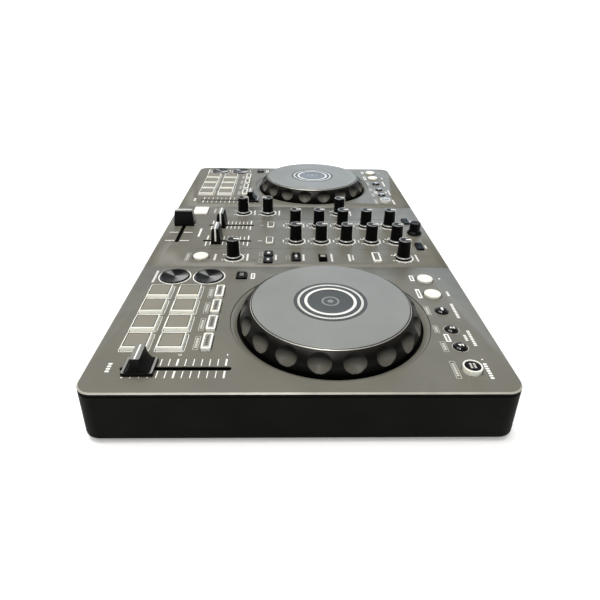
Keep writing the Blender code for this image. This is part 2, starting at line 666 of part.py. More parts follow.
def cut_mixer_openings(bm):
    """Openings for the mixer's knob shafts, keys and faders."""
    for place in knob_places().values():
        cut_round(bm, place, SHAFT_RADIUS, 8)
    cut_round(bm, mixer_place(0.0, BROWSE_Y), SHAFT_RADIUS, 8)
    for _, size, _, place, _ in rectangular_mixer_keys():
        cut_rectangle(bm, place, size)
    for place in beat_key_centres():
        cut_rectangle(bm, place, BEAT_KEY_SIZE)
    cut_round(bm, mixer_place(SIDE_X, EFFECT_SWITCH_Y), EFFECT_SWITCH_RADIUS)
    cut_rectangle(bm, mixer_place(SIDE_X, CHANNEL_SELECT_Y), CHANNEL_SELECT_SLOT)
    for x in (-CHANNEL_X, CHANNEL_X):
        slot = (2 * SLOT_HALF_WIDTH, 2 * CHANNEL_FADER_HALF_SLOT)
        cut_rectangle(bm, mixer_place(x, CHANNEL_FADER_MIDDLE_Y), slot)
    cut_rectangle(bm, mixer_place(0.0, CROSSFADER_Y), (2 * CROSSFADER_HALF_SLOT, 2 * SLOT_HALF_WIDTH))


def rounded_slab(bottom, top, bevelled, width, segments):
    """A slab with the case's outline, whose edges at the height bevelled are bevelled."""
    half_x, half_y = CASE_WIDTH / 2, CASE_DEPTH / 2
    bm = bmesh.new()
    add_block(bm, (-half_x, -half_y, bottom), (half_x, half_y, top), CORNER_RADIUS, CORNER_STEPS)
    rim = [e for e in bm.edges if all(abs(v.co.z - bevelled) < GAP for v in e.verts)]
    bmesh.ops.bevel(bm, geom=rim, offset=width, segments=segments, affect="EDGES")
    return bm


def build_panel():
    """The top panel with a well for each jog wheel and an opening for each control."""
    bm = rounded_slab(PANEL_UNDER, PANEL_TOP, PANEL_TOP, RIM_BEVEL, 1)
    panel = add_object("top_panel", mesh_from(bm, "top_panel"), (0.0, 0.0), PANEL_FINISH)
    well_floor = PANEL_TOP - WELL_DEPTH
    well_under = well_floor - WELL_SHELL
    for side in DECKS:
        place = deck_place(side, JOG_PLACE)
        bm = bmesh.new()
        add_rod(bm, place, WELL_RADIUS + WELL_SHELL, well_under, PANEL_UNDER + SUNK, JOG_STEPS)
        shell = add_object(side + "_well_shell", mesh_from(bm, side + "_well_shell"), (0.0, 0.0))
        boolean(panel, shell, "UNION")
        hollow = [
            (0.0, PANEL_TOP + SUNK), (WELL_RADIUS + SUNK, PANEL_TOP + SUNK), (WELL_THROAT, PANEL_UNDER),
            (WELL_THROAT, well_floor), (JOG_SHAFT_HOLE, well_floor), (JOG_SHAFT_HOLE, well_under - SUNK),
            (0.0, well_under - SUNK)]
        cutter = turned(side + "_well_hollow", hollow, JOG_STEPS, place, None)
        boolean(panel, cutter, "DIFFERENCE")
    bm = bmesh.new()
    for side in DECKS:
        cut_deck_openings(bm, side)
    cut_mixer_openings(bm)
    openings = add_object("panel_openings", mesh_from(bm, "panel_openings"), (0.0, 0.0))
    boolean(panel, openings, "DIFFERENCE")


def build_case():
    """The bottom case: a tray with feet, posts that hold the board, and openings for the sockets."""
    half_x, half_y = CASE_WIDTH / 2, CASE_DEPTH / 2
    bm = rounded_slab(CASE_BOTTOM, PANEL_UNDER - GAP, CASE_BOTTOM, BASE_BEVEL, 2)
    lid = max(bm.faces, key=lambda f: f.calc_center_median().z)
    bmesh.ops.delete(bm, geom=[lid], context="FACES_ONLY")
    case = add_object("bottom_case", mesh_from(bm, "bottom_case"), (0.0, 0.0), CASE_FINISH)
    shell = case.modifiers.new("wall", "SOLIDIFY")
    shell.thickness = WALL
    shell.offset = -1.0
    shell.use_even_offset = True
    bm = bmesh.new()
    root = CASE_BOTTOM + WALL / 2
    for sign_x in (-1, 1):
        for sign_y in (-1, 1):
            foot = (sign_x * (half_x - FOOT_INSET), sign_y * (half_y - FOOT_INSET))
            add_rod(bm, foot, FOOT_RADIUS, 0.0, root, FOOT_STEPS)
    for x in POST_COLUMNS:
        for y in POST_ROWS:
            add_rod(bm, (x, y), POST_RADIUS, root, BOARD_UNDER - GAP, 8)
    for side in DECKS:
        add_rod(bm, deck_place(side, JOG_PLACE), HUB_RADIUS, root, HUB_TOP, 12)
    extras = add_object("case_feet_and_posts", mesh_from(bm, "case_feet_and_posts"), (0.0, 0.0))
    boolean(case, extras, "UNION")
    openings = add_object("case_openings", mesh_from(case_openings(), "case_openings"), (0.0, 0.0))
    boolean(case, openings, "DIFFERENCE")


def case_openings():
    """Holes in the back wall for the sockets, and one in the front wall for the headphone socket."""
    near = CASE_DEPTH / 2 - WALL - 2 * PAST
    far = CASE_DEPTH / 2 + 2 * PAST
    bm = bmesh.new()
    for x in LINE_OUT_X:
        add_rod(bm, (x, SOCKET_Z), LINE_OUT_CUP_RADIUS, near, far, SOCKET_STEPS, "Y")
    add_rod(bm, (MIC_X, SOCKET_Z), MIC_NUT_RADIUS + HOLE_CLEARANCE, near, far, SOCKET_STEPS, "Y")
    add_block(bm, (USB_X - USB_OPENING[0], near, SOCKET_Z - USB_OPENING[1]),
              (USB_X + USB_OPENING[0], far, SOCKET_Z + USB_OPENING[1]))
    headphone = HEADPHONE_NUT_RADIUS + HOLE_CLEARANCE
    add_rod(bm, (HEADPHONE_X, SOCKET_Z), headphone, -far, -near, SMALL_SOCKET_STEPS, "Y")
    return bm


def add_part(bm, place, half, top=SWITCH_TOP):
    """Add the body of a part that stands on the main board."""
    add_block(bm, (place[0] - half[0], place[1] - half[1], PART_ROOT),
              (place[0] + half[0], place[1] + half[1], top))


def board_parts():
    """Potentiometers, fader bodies, key switches and the headphone socket's body."""
    bm = bmesh.new()
    for place in (*knob_places().values(), mixer_place(0.0, BROWSE_Y)):
        add_part(bm, place, POTENTIOMETER)
    for side in DECKS:
        add_part(bm, deck_place(side, (TEMPO_X, TEMPO_MIDDLE_Y)), TEMPO_FADER_BODY)
        for place in (CUE_PLACE, PLAY_PLACE, SHIFT_PLACE):
            add_part(bm, deck_place(side, place), KEY_SWITCH)
    for x in (-CHANNEL_X, CHANNEL_X):
        add_part(bm, mixer_place(x, CHANNEL_FADER_MIDDLE_Y), CHANNEL_FADER_BODY)
    add_part(bm, mixer_place(0.0, CROSSFADER_Y), CROSSFADER_BODY)
    add_part(bm, (HEADPHONE_X, HEADPHONE_BODY_Y), HEADPHONE_BODY, HEADPHONE_BODY_TOP)
    return bm


def build_board():
    """The main circuit board, notched round the socket board, with its parts."""
    half_x = CASE_WIDTH / 2 - BOARD_MARGIN
    front = -CASE_DEPTH / 2
    bm = bmesh.new()
    add_block(bm, (-half_x, BOARD_FRONT_Y, BOARD_UNDER), (half_x, BOARD_NOTCH_Y, BOARD_TOP))
    board = add_object("main_board", mesh_from(bm, "main_board"), (0.0, 0.0), BOARD_FINISH)
    bm = bmesh.new()
    add_block(bm, (-half_x, BOARD_NOTCH_Y - SUNK, BOARD_UNDER), (BOARD_NOTCH_X, BOARD_BACK_Y, BOARD_TOP))
    tongue = add_object("board_tongue", mesh_from(bm, "board_tongue"), (0.0, 0.0))
    boolean(board, tongue, "UNION")
    parts = add_object("board_parts", mesh_from(board_parts(), "board_parts"), (0.0, 0.0))
    boolean(board, parts, "UNION")
    bm = bmesh.new()
    place = (HEADPHONE_X, SOCKET_Z)
    nut_end = HEADPHONE_BODY_Y - HEADPHONE_BODY[1] + PAST
    add_rod(bm, place, HEADPHONE_NUT_RADIUS, front + FLUSH, nut_end, SMALL_SOCKET_STEPS, "Y")
    nut = add_object("headphone_nut", mesh_from(bm, "headphone_nut"), (0.0, 0.0))
    boolean(board, nut, "UNION")
    bm = bmesh.new()
    for side in DECKS:
        add_rod(bm, deck_place(side, JOG_PLACE), HUB_HOLE, BOARD_UNDER - PAST, BOARD_TOP + PAST, 12)
    add_rod(bm, place, HEADPHONE_BORE_RADIUS, front - PAST, HEADPHONE_BORE_END, SMALL_SOCKET_STEPS, "Y")
    holes = add_object("board_holes", mesh_from(bm, "board_holes"), (0.0, 0.0))
    boolean(board, holes, "DIFFERENCE")


def socket_bodies(inner):
    """The sockets' bodies behind the back wall."""
    bm = bmesh.new()
    half, depth, top = LINE_OUT_BODY
    add_block(bm, (LINE_OUT_X[0] - half, inner - depth, SOCKET_BODY_UNDER),
              (LINE_OUT_X[1] + half, inner, top))
    half, depth, top = MIC_BODY
    add_block(bm, (MIC_X - half, inner - depth, SOCKET_BODY_UNDER), (MIC_X + half, inner, top))
    half, depth, top = USB_BODY
    add_block(bm, (USB_X - half, inner - depth, PART_ROOT), (USB_X + half, inner, top))
    return bm


def socket_fronts(inner, half_y):
    """The microphone socket's nut and the data socket's front, which fill their holes in the wall."""
    bm = bmesh.new()
    add_rod(bm, (MIC_X, SOCKET_Z), MIC_NUT_RADIUS, inner - 2 * PAST, half_y - FLUSH, SOCKET_STEPS, "Y")
    add_block(bm, (USB_X - USB_FRONT[0], inner - 0.0030, SOCKET_Z - USB_FRONT[1]),
              (USB_X + USB_FRONT[0], half_y - 2 * FLUSH, SOCKET_Z + USB_FRONT[1]), 0.0010)
    return bm


def socket_bores(half_y):
    """The holes that the plugs go in."""
    bm = bmesh.new()
    past = half_y + PAST
    for x in LINE_OUT_X:
        add_rod(bm, (x, SOCKET_Z), LINE_OUT_PIN_RADIUS, half_y - LINE_OUT_DEPTH - PAST, past, 8, "Y")
    add_rod(bm, (MIC_X, SOCKET_Z), MIC_BORE_RADIUS, half_y - MIC_BODY[1], past, SOCKET_STEPS, "Y")
    add_block(bm, (USB_X - USB_SLOT[0] / 2, half_y - USB_DEPTH, SOCKET_Z - USB_SLOT[1] / 2),
              (USB_X + USB_SLOT[0] / 2, past, SOCKET_Z + USB_SLOT[1] / 2))
    return bm


def build_socket_board():
    """The socket board: two line outputs, a microphone socket and a data socket on one board."""
    half_y = CASE_DEPTH / 2
    inner = half_y - WALL - GAP
    bm = bmesh.new()
    add_block(bm, (SOCKET_BOARD_X[0], inner - SOCKET_BOARD_DEPTH, BOARD_UNDER),
              (SOCKET_BOARD_X[1], inner - SUNK, BOARD_TOP))
    board = add_object("socket_board", mesh_from(bm, "socket_board"), (0.0, 0.0), SOCKET_FINISH)
    cups = bmesh.new()
    sleeves = bmesh.new()
    for x in LINE_OUT_X:
        floor = half_y - LINE_OUT_DEPTH
        place = (x, SOCKET_Z)
        add_rod(cups, place, LINE_OUT_CUP_RADIUS, floor, half_y + 2 * PAST, SOCKET_STEPS, "Y")
        sleeve_end = half_y - 2 * FLUSH
        add_rod(sleeves, place, LINE_OUT_SLEEVE_RADIUS, floor - PAST, sleeve_end, SMALL_SOCKET_STEPS, "Y")
    steps = (
        ("socket_bodies", socket_bodies(inner), "UNION"),
        ("socket_fronts", socket_fronts(inner, half_y), "UNION"),
        ("line_out_cups", cups, "DIFFERENCE"),
        ("line_out_sleeves", sleeves, "UNION"),
        ("socket_bores", socket_bores(half_y), "DIFFERENCE"),
    )
    for name, shape, operation in steps:
        boolean(board, add_object(name, mesh_from(shape, name), (0.0, 0.0)), operation)


def main():
    build_case()
    build_board()
    build_socket_board()
    build_panel()
    for side in DECKS:
        build_deck(side)
    build_mixer()


main()
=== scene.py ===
"""The looks of a two-deck DJ controller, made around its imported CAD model.

Metres, in the CAD model's frame: +Z up, +Y the back, +X the right-hand deck. Sizes and places come from
the frame's own boxes. The CAD solids of the panel, the case and every control are replaced by finer
meshes that ride on the same bodies; both circuit boards and the selector's shaft keep their shapes and get
new materials.
"""

import math

import bmesh
import bpy
from mathutils import Matrix, Vector


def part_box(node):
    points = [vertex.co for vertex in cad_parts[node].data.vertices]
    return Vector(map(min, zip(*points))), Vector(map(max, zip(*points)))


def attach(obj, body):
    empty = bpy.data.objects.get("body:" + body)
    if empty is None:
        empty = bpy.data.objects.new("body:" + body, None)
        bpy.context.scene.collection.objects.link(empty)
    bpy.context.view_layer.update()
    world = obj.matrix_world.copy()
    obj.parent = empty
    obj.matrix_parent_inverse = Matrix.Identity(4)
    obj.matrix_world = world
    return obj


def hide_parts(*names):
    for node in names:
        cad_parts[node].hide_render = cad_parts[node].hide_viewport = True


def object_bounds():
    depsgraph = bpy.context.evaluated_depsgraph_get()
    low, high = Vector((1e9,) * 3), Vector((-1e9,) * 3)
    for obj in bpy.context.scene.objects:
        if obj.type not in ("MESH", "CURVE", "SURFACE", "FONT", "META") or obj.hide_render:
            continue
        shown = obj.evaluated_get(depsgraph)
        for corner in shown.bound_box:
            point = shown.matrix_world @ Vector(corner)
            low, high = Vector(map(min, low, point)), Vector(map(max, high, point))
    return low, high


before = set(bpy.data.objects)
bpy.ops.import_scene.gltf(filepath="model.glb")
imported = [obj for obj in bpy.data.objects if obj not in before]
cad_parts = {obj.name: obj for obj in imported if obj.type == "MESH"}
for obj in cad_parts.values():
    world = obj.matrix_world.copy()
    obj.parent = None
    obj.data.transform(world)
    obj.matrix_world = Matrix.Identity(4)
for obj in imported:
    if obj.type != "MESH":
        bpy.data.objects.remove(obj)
CAD_LOW, CAD_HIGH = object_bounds()

# Outline of the object, read from the frame
FRONT = CAD_LOW.y
CASE_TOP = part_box("bottom_case")[1].z
PANEL_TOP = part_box("top_panel")[1].z
HALF_WIDTH = CAD_HIGH.x
HALF_DEPTH = CAD_HIGH.y
CORNER_RADIUS = 0.0115
PANEL_THICKNESS = 0.003
DECK_WIDTH = 0.1645
DECK_X = {"left": -HALF_WIDTH, "right": HALF_WIDTH - DECK_WIDTH}
SEAM_X = HALF_WIDTH - DECK_WIDTH

# How keys sit in the panel
LIP = 0.001
CLEARANCE = 0.0004
POCKET_DEPTH = 0.0036
KEY_SKIRT = 0.0024
SLOT_DEPTH = 0.0026
SLOT_HALF_WIDTH = 0.0019
TINY = 0.00002

# Pads and mode keys
PAD_PITCH = (0.0227, 0.0235)
PAD_HALF = 0.0092
MODE_KEY_HALF = (0.0089, 0.0034)
BEAT_KEY_TRIM = 0.0006
BEAT_KEY_HALF = (0.0058 - BEAT_KEY_TRIM, 0.0039)
BEAT_KEY_X = 0.0069
CALL_KEY_X = 0.0104
SMALL_KEY_RADIUS = 0.0046
SELECT_SLOT_HALF = (0.00825, 0.0036)
MARK_SUNK = 0.00005

# Case, sockets on its walls, and what the fader caps and knobs stand on
CASE_BOTTOM = PANEL_TOP - 0.0365
CASE_WALL = 0.0025
SOCKET_Z = 0.0225
HEADPHONE_X = -0.19
DATA_X = 0.08
MIC_X = 0.112
LINE_OUT_X = (0.15, 0.17)
SOCKETS = [(MIC_X, 0.0062), (LINE_OUT_X[0], 0.007), (LINE_OUT_X[1], 0.007)]
CAP_BASE = PANEL_TOP + 0.0003

# Fader slots: half length, and the middle's distance from the front edge
TEMPO_HALF_SLOT = 0.035
TEMPO_ROW = 0.057
CHANNEL_HALF_SLOT = 0.0237
CHANNEL_ROW = 0.0673
CROSS_HALF_SLOT = 0.024

# Printing on the panel
PRINT_RISE = 0.00005
PRINT_SUNK = 0.0001
LINE = 0.00045


# ---------------------------------------------------------------- finishes

def add_noise(tree, source, size, detail=3.0):
    """A noise texture whose features are about size metres across."""
    noise = tree.nodes.new("ShaderNodeTexNoise")
    noise.inputs["Scale"].default_value = 1.0 / size
    noise.inputs["Detail"].default_value = detail
    tree.links.new(source, noise.inputs["Vector"])
    return noise.outputs["Fac"]


def add_ramp(tree, value, low, high, to_low=0.0, to_high=1.0):
    """Map a value from one range to another, clamped."""
    ramp = tree.nodes.new("ShaderNodeMapRange")
    for title, number in (("From Min", low), ("From Max", high), ("To Min", to_low), ("To Max", to_high)):
        ramp.inputs[title].default_value = number
    tree.links.new(value, ramp.inputs["Value"])
    return ramp.outputs["Result"]


def add_mix(tree, share, first, second):
    """Blend two colours; each is a colour or an output of the tree."""
    mix = tree.nodes.new("ShaderNodeMix")
    mix.data_type = "RGBA"
    tree.links.new(share, mix.inputs["Factor"])
    for socket, value in ((mix.inputs[6], first), (mix.inputs[7], second)):
        if isinstance(value, tuple):
            socket.default_value = (*value, 1.0)
        else:
            tree.links.new(value, socket)
    return mix.outputs[2]


def finish(color, roughness, spread=0.08, grain=0.000012, grain_size=0.0005, blotch_size=0.03,
           tint=0.14, wear=0.0, dust=0.0, metallic=0.0, specular=0.5, coat=0.0):
    """A moulded or painted surface.

    Its colour drifts by tint over blotch_size, its edges pale by wear, dust specks lie on it, its
    roughness varies by spread, and grain metres of texture stand on it.
    """
    material = bpy.data.materials.new("look")
    material.use_nodes = True
    tree = material.node_tree
    shader = tree.nodes["Principled BSDF"]
    shader.inputs["Metallic"].default_value = metallic
    shader.inputs["Specular IOR Level"].default_value = specular
    shader.inputs["Coat Weight"].default_value = coat
    shader.inputs["Coat Roughness"].default_value = 0.08
    place = tree.nodes.new("ShaderNodeTexCoord").outputs["Object"]
    blotch = add_noise(tree, place, blotch_size, 5.0)
    dark = tuple(c * (1.0 - tint) for c in color)
    light = tuple(min(1.0, c * (1.0 + tint)) for c in color)
    shade = add_mix(tree, add_ramp(tree, blotch, 0.35, 0.65), dark, light)
    if wear > 0.0:
        edges = tree.nodes.new("ShaderNodeNewGeometry").outputs["Pointiness"]
        worn = tuple(min(1.0, c * 1.6 + 0.05) for c in color)
        shade = add_mix(tree, add_ramp(tree, edges, 0.51, 0.62, 0.0, wear), shade, worn)
    if dust > 0.0:
        specks = tree.nodes.new("ShaderNodeTexVoronoi")
        specks.inputs["Scale"].default_value = 1.0 / 0.0065
        tree.links.new(place, specks.inputs["Vector"])
        spots = add_ramp(tree, specks.outputs["Distance"], 0.045, 0.025, 0.0, dust)
        shade = add_mix(tree, spots, shade, (0.5, 0.49, 0.46))
    tree.links.new(shade, shader.inputs["Base Color"])
    smear = add_noise(tree, place, blotch_size * 0.6, 6.0)
    low, high = max(0.02, roughness - spread), roughness + spread
    tree.links.new(add_ramp(tree, smear, 0.3, 0.7, low, high), shader.inputs["Roughness"])
    if grain > 0.0:
        bump = tree.nodes.new("ShaderNodeBump")
        bump.inputs["Distance"].default_value = grain
        bump.inputs["Strength"].default_value = 1.0
        tree.links.new(add_noise(tree, place, grain_size, 2.0), bump.inputs["Height"])
        tree.links.new(bump.outputs["Normal"], shader.inputs["Normal"])
    return material


def painted_height_shading(low_color, high_color, low, high, roughness, specular):
    """A finish with painted light and shade: its colour changes with height, as a curved side under an
    overhead lamp looks.
    """
    material = finish(low_color, roughness, 0.05, 0.000006, 0.0004, specular=specular)
    tree = material.node_tree
    split = tree.nodes.new("ShaderNodeSeparateXYZ")
    tree.links.new(tree.nodes.new("ShaderNodeTexCoord").outputs["Object"], split.inputs["Vector"])
    share = add_ramp(tree, split.outputs["Z"], low, high)
    shade = add_mix(tree, share, low_color, high_color)
    tree.links.new(shade, tree.nodes["Principled BSDF"].inputs["Base Color"])
    return material


def spun_metal():
    """Dark metal turned on a lathe: its rings spread the light, and pale wedges are painted into its colour
    as highlights.
    """
    material = finish((0.115, 0.112, 0.106), 0.26, 0.03, 0.0, metallic=1.0)
    tree = material.node_tree
    shader = tree.nodes["Principled BSDF"]
    shader.inputs["Anisotropic"].default_value = 0.6
    tangent = tree.nodes.new("ShaderNodeTangent")
    tangent.direction_type = "RADIAL"
    tangent.axis = "Z"
    tree.links.new(tangent.outputs["Tangent"], shader.inputs["Tangent"])
    around = tree.nodes.new("ShaderNodeTexGradient")
    around.gradient_type = "RADIAL"
    place = tree.nodes.new("ShaderNodeTexCoord").outputs["Object"]
    tree.links.new(place, around.inputs["Vector"])
    # Painted highlights: pale wedges in the base colour round the key's centre.
    wedges = tree.nodes.new("ShaderNodeValToRGB")
    stops = ((0.0, 0.01), (0.06, 0.02), (0.1, 0.75), (0.14, 0.8), (0.18, 0.025), (0.34, 0.01),
             (0.5, 0.02), (0.56, 0.3), (0.64, 0.7), (0.74, 0.75), (0.8, 0.22), (0.88, 0.015),
             (1.0, 0.01))
    ramp = wedges.color_ramp
    while len(ramp.elements) < len(stops):
        ramp.elements.new(0.5)
    for stop, (share, grey) in zip(ramp.elements, stops):
        stop.position = share
        stop.color = (grey, grey * 0.99, grey * 0.95, 1.0)
    tree.links.new(around.outputs["Fac"], wedges.inputs["Fac"])
    tree.links.new(wedges.outputs["Color"], shader.inputs["Base Color"])
    return material


def milky(color, roughness):
    """A translucent silicone or acrylic that lets a little light through."""
    material = finish(color, roughness, 0.05, 0.000004, tint=0.05, wear=0.25)
    shader = material.node_tree.nodes["Principled BSDF"]
    shader.inputs["Subsurface Weight"].default_value = 0.35
    shader.inputs["Subsurface Radius"].default_value = (0.0016, 0.0014, 0.001)
    shader.inputs["Subsurface Scale"].default_value = 1.0
    return material


LOOK = {
    "panel": finish((0.148, 0.142, 0.116), 0.44, 0.06, dust=0.6, tint=0.05, specular=0.45),
    # The chamfer round the panel's rim: a pale colour painted on the panel's plastic as a highlight.
    "panel_edge_painted_highlight": finish((0.4, 0.39, 0.335), 0.32, 0.05, 0.0, specular=0.6),
    "case": finish((0.004, 0.0041, 0.0031), 0.5, 0.07, 0.00003, 0.0009, wear=0.03,
                   dust=0.06, specular=0.03),
    "knob": finish((0.003, 0.003, 0.0031), 0.36, 0.06, 0.000006, 0.0003, wear=0.03,
                   specular=0.07),
    "knob_top": finish((0.022, 0.022, 0.022), 0.5, 0.05, 0.0, specular=0.1),
    # A pale band on the knob's black skirt: a painted highlight.
    "skirt_painted_highlight": finish((0.4, 0.4, 0.385), 0.25, 0.03, 0.0, specular=0.9),
    # A lighter grey band round the knob's top rim: a painted highlight, with a glossier finish.
    "knob_rim_painted_highlight": finish((0.2, 0.2, 0.194), 0.24, 0.04, 0.0, specular=1.0, metallic=0.2),
    "cap_top": finish((0.21, 0.21, 0.2), 0.33, 0.06, 0.000004, wear=0.2),
    "cap": finish((0.0038, 0.0038, 0.0036), 0.34, 0.07, 0.000006, 0.0003, wear=0.02,
                  specular=0.1),
    "cap_lip": finish((0.26, 0.26, 0.25), 0.3, 0.05, 0.0, tint=0.05, specular=0.6),
    # The wheel's side: painted shade, darker at the bottom and lighter towards the top, as under an overhead
    # lamp.
    "jog_side_painted_shading": painted_height_shading((0.0028, 0.0026, 0.0022), (0.019, 0.0175, 0.0135),
                       PANEL_TOP + 0.0095, PANEL_TOP + 0.015, 0.36, 0.12),
    # The dimples: painted light on their lower part and painted shade on their upper part, as under an
    # overhead lamp.
    "dimple_painted_shading": painted_height_shading((0.092, 0.088, 0.074), (0.0026, 0.0025, 0.0022),
                     PANEL_TOP + 0.003, PANEL_TOP + 0.0086, 0.34, 0.12),
    "jog_plate": finish((0.248, 0.256, 0.244), 0.44, 0.05, 0.000003, 0.0003, 0.05,
                        tint=0.05, dust=0.3, metallic=0.1, specular=0.15),
    "jog_edge": finish((0.52, 0.51, 0.46), 0.4, 0.04, 0.0, metallic=0.6),
    "jog_halo": finish((0.05, 0.052, 0.05), 0.42, 0.04, 0.000003),
    "jog_disc": finish((0.058, 0.062, 0.06), 0.34, 0.05, 0.0, specular=0.4),
    "emblem": finish((0.21, 0.22, 0.215), 0.35, 0.04, 0.0),
    "print": finish((0.9, 0.895, 0.85), 0.55, 0.05, 0.0, tint=0.05),
    "print_grey": finish((0.6, 0.59, 0.545), 0.55, 0.05, 0.0, tint=0.06),
    "print_dark": finish((0.03, 0.029, 0.026), 0.55, 0.05, 0.0, tint=0.06),
    "white_key": milky((0.9, 0.89, 0.81), 0.38),
    "pad_body": milky((0.88, 0.88, 0.8), 0.42),
    "pad_top": finish((0.225, 0.212, 0.172), 0.46, 0.06, 0.00001, 0.0004, tint=0.05),
    "gloss_black": finish((0.004, 0.004, 0.0042), 0.12, 0.04, 0.0, specular=0.4, coat=0.2),
    "black_key": finish((0.0035, 0.0035, 0.0035), 0.26, 0.06, 0.000004, wear=0.04,
                    specular=0.12),
    "inset": finish((0.33, 0.32, 0.29), 0.4, 0.05, 0.000004, tint=0.06),
    "inset_dark": finish((0.15, 0.147, 0.13), 0.4, 0.05, 0.000004, tint=0.06),
    # Painted shade: near black for the insides of pockets, slots, sockets, grooves and the walls under the
    # panel.
    "hollow_painted_shade": finish((0.0025, 0.0025, 0.0025), 0.7, 0.05, 0.0, specular=0.05),
    "rubber": finish((0.02, 0.02, 0.02), 0.75, 0.06, 0.00002, 0.0004, wear=0.2),
    "steel": finish((0.52, 0.52, 0.53), 0.28, 0.08, 0.000004, metallic=1.0),
    "ring_white": finish((0.8, 0.8, 0.76), 0.4, 0.05, 0.0, tint=0.05),
    "ring_red": finish((0.48, 0.03, 0.025), 0.4, 0.05, 0.0, tint=0.05),
    "board": finish((0.02, 0.11, 0.05), 0.42, 0.08, 0.00001, 0.0012),
    "spun_metal": spun_metal(),
}
for title, material in LOOK.items():
    material.name = title + "_look"


# ---------------------------------------------------------------- mesh tools

def middle(node):
    """The middle of a CAD node's box, as x and y."""
    low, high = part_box(node)
    return ((low.x + high.x) / 2, (low.y + high.y) / 2)


def half_of(node):
    """Half sizes of a CAD node's box across x and y."""
    low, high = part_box(node)
    return ((high.x - low.x) / 2, (high.y - low.y) / 2)


def key_half(node):
    """Half sizes of a key above the panel; below it a lip reaches out further."""
    half = half_of(node)
    return (half[0] - LIP, half[1] - LIP)


def top_of(node):
    """Height of a CAD node's top."""
    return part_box(node)[1].z


def on_deck(side, u, v):
    """World x and y of a place measured from a deck's front left corner."""
    return (DECK_X[side] + u, FRONT + v)


def on_mixer(x, v):
    """World x and y of a place measured from the middle and the front edge."""
    return (x, FRONT + v)


def round_shape(radius, steps=48):
    """A circle."""
    return ("round", radius, steps)


def box_shape(half_x, half_y, corner, steps=5):
    """A rectangle with round corners."""
    return ("box", half_x, half_y, corner, steps)


def outline(shape, inset=0.0):
    """Points of a shape's outline, anticlockwise from above, moved in by inset."""
    if shape[0] == "round":
        radius = max(shape[1] - inset, TINY)
        turn = 2 * math.pi / shape[2]
        return [(radius * math.cos(i * turn), radius * math.sin(i * turn)) for i in range(shape[2])]
    half_x, half_y = max(shape[1] - inset, TINY), max(shape[2] - inset, TINY)
    corner = min(max(shape[3] - inset, TINY), half_x, half_y)
    points = []
    for quarter, (sign_x, sign_y) in enumerate(((1, 1), (-1, 1), (-1, -1), (1, -1))):
        for i in range(shape[4] + 1):
            angle = (quarter + i / shape[4]) * math.pi / 2
            points.append((sign_x * (half_x - corner) + corner * math.cos(angle),
                           sign_y * (half_y - corner) + corner * math.sin(angle)))
    return points


def fillet(profile, steps=4):
    """Round a profile's corners. Its points are (inset, height, radius, look), and the look holds
    from that point to the next."""
    made = []
    for i, (x, z, radius, look) in enumerate(profile):
        here = Vector((x, z))
        if radius == 0.0 or i in (0, len(profile) - 1):
            made.append((x, z, look))
            continue
        back = Vector(profile[i - 1][:2]) - here
        on = Vector(profile[i + 1][:2]) - here
        half_angle = back.angle(on) / 2
        reach = min(radius / math.tan(half_angle), 0.49 * back.length, 0.49 * on.length)
        start = here + back.normalized() * reach
        end = here + on.normalized() * reach
        for k in range(steps + 1):
            t = k / steps
            point = start * (1 - t) ** 2 + here * 2 * t * (1 - t) + end * t * t
            made.append((point.x, point.y, look if t > 0.4 else profile[i - 1][3]))
    return made


def banded(*bands):
    """A profile from bands of (look, point, point...). A point is (inset, height), with a radius if it
    is rounded."""
    return [(*point, 0.0)[:3] + (look,) for look, *points in bands for point in points]


def looks_of(profile):
    """The looks of a profile, in their first order."""
    return list(dict.fromkeys(point[-1] for point in profile))


def add_object(name, data):
    """A new object in the scene."""
    item = bpy.data.objects.new(name, data)
    bpy.context.scene.collection.objects.link(item)
    return item


def finish_mesh(bm, name, looks, place=(0.0, 0.0, 0.0), angle=38.0, weighted=True):
    """Turn a bmesh into a smooth-shaded object whose looks are named in LOOK."""
    bmesh.ops.remove_doubles(bm, verts=bm.verts, dist=0.000002)
    bmesh.ops.recalc_face_normals(bm, faces=bm.faces)
    mesh = bpy.data.meshes.new(name)
    bm.to_mesh(mesh)
    bm.free()
    mesh.shade_smooth()
    mesh.set_sharp_from_angle(angle=math.radians(angle))
    for look in looks:
        mesh.materials.append(LOOK[look])
    piece = add_object(name, mesh)
    piece.location = place
    if weighted:
        change = piece.modifiers.new("weighted", "WEIGHTED_NORMAL")
        change.keep_sharp = True
    return piece


def shifted(points, place):
    """Points of an outline, moved to a place."""
    return [(x + place[0], y + place[1]) for x, y in points]


def skin(bm, rows, looks=None, closed=True, ends=True):
    """Join rows of vertices by bands with a look each, and close both ends."""
    looks = looks or [0] * len(rows)
    for k, (a, b) in enumerate(zip(rows, rows[1:])):
        for i in range(len(a) if closed else len(a) - 1):
            j = (i + 1) % len(a)
            bm.faces.new((a[i], a[j], b[j], b[i])).material_index = looks[k]
    if ends:
        bm.faces.new(list(reversed(rows[0]))).material_index = looks[0]
        bm.faces.new(rows[-1]).material_index = looks[-1]


def add_sweep(bm, shape, profile, looks, place=(0.0, 0.0), warp=None):
    """Stack a shape's outlines along a profile; warp(x, y, z) may move each point."""
    rows = []
    for inset, height, _ in profile:
        points = [(x, y, height) for x, y in outline(shape, inset)]
        if warp:
            points = [warp(*point) for point in points]
        rows.append([bm.verts.new((x + place[0], y + place[1], z)) for x, y, z in points])
    skin(bm, rows, [looks.index(row[2]) for row in profile])


def sweep(name, shape, profile, place=(0.0, 0.0), steps=4, warp=None, angle=38.0):
    """A piece made by one sweep along a banded profile."""
    bm = bmesh.new()
    add_sweep(bm, shape, fillet(profile, steps), looks_of(profile), warp=warp)
    return finish_mesh(bm, name, looks_of(profile), (*place, 0.0), angle)


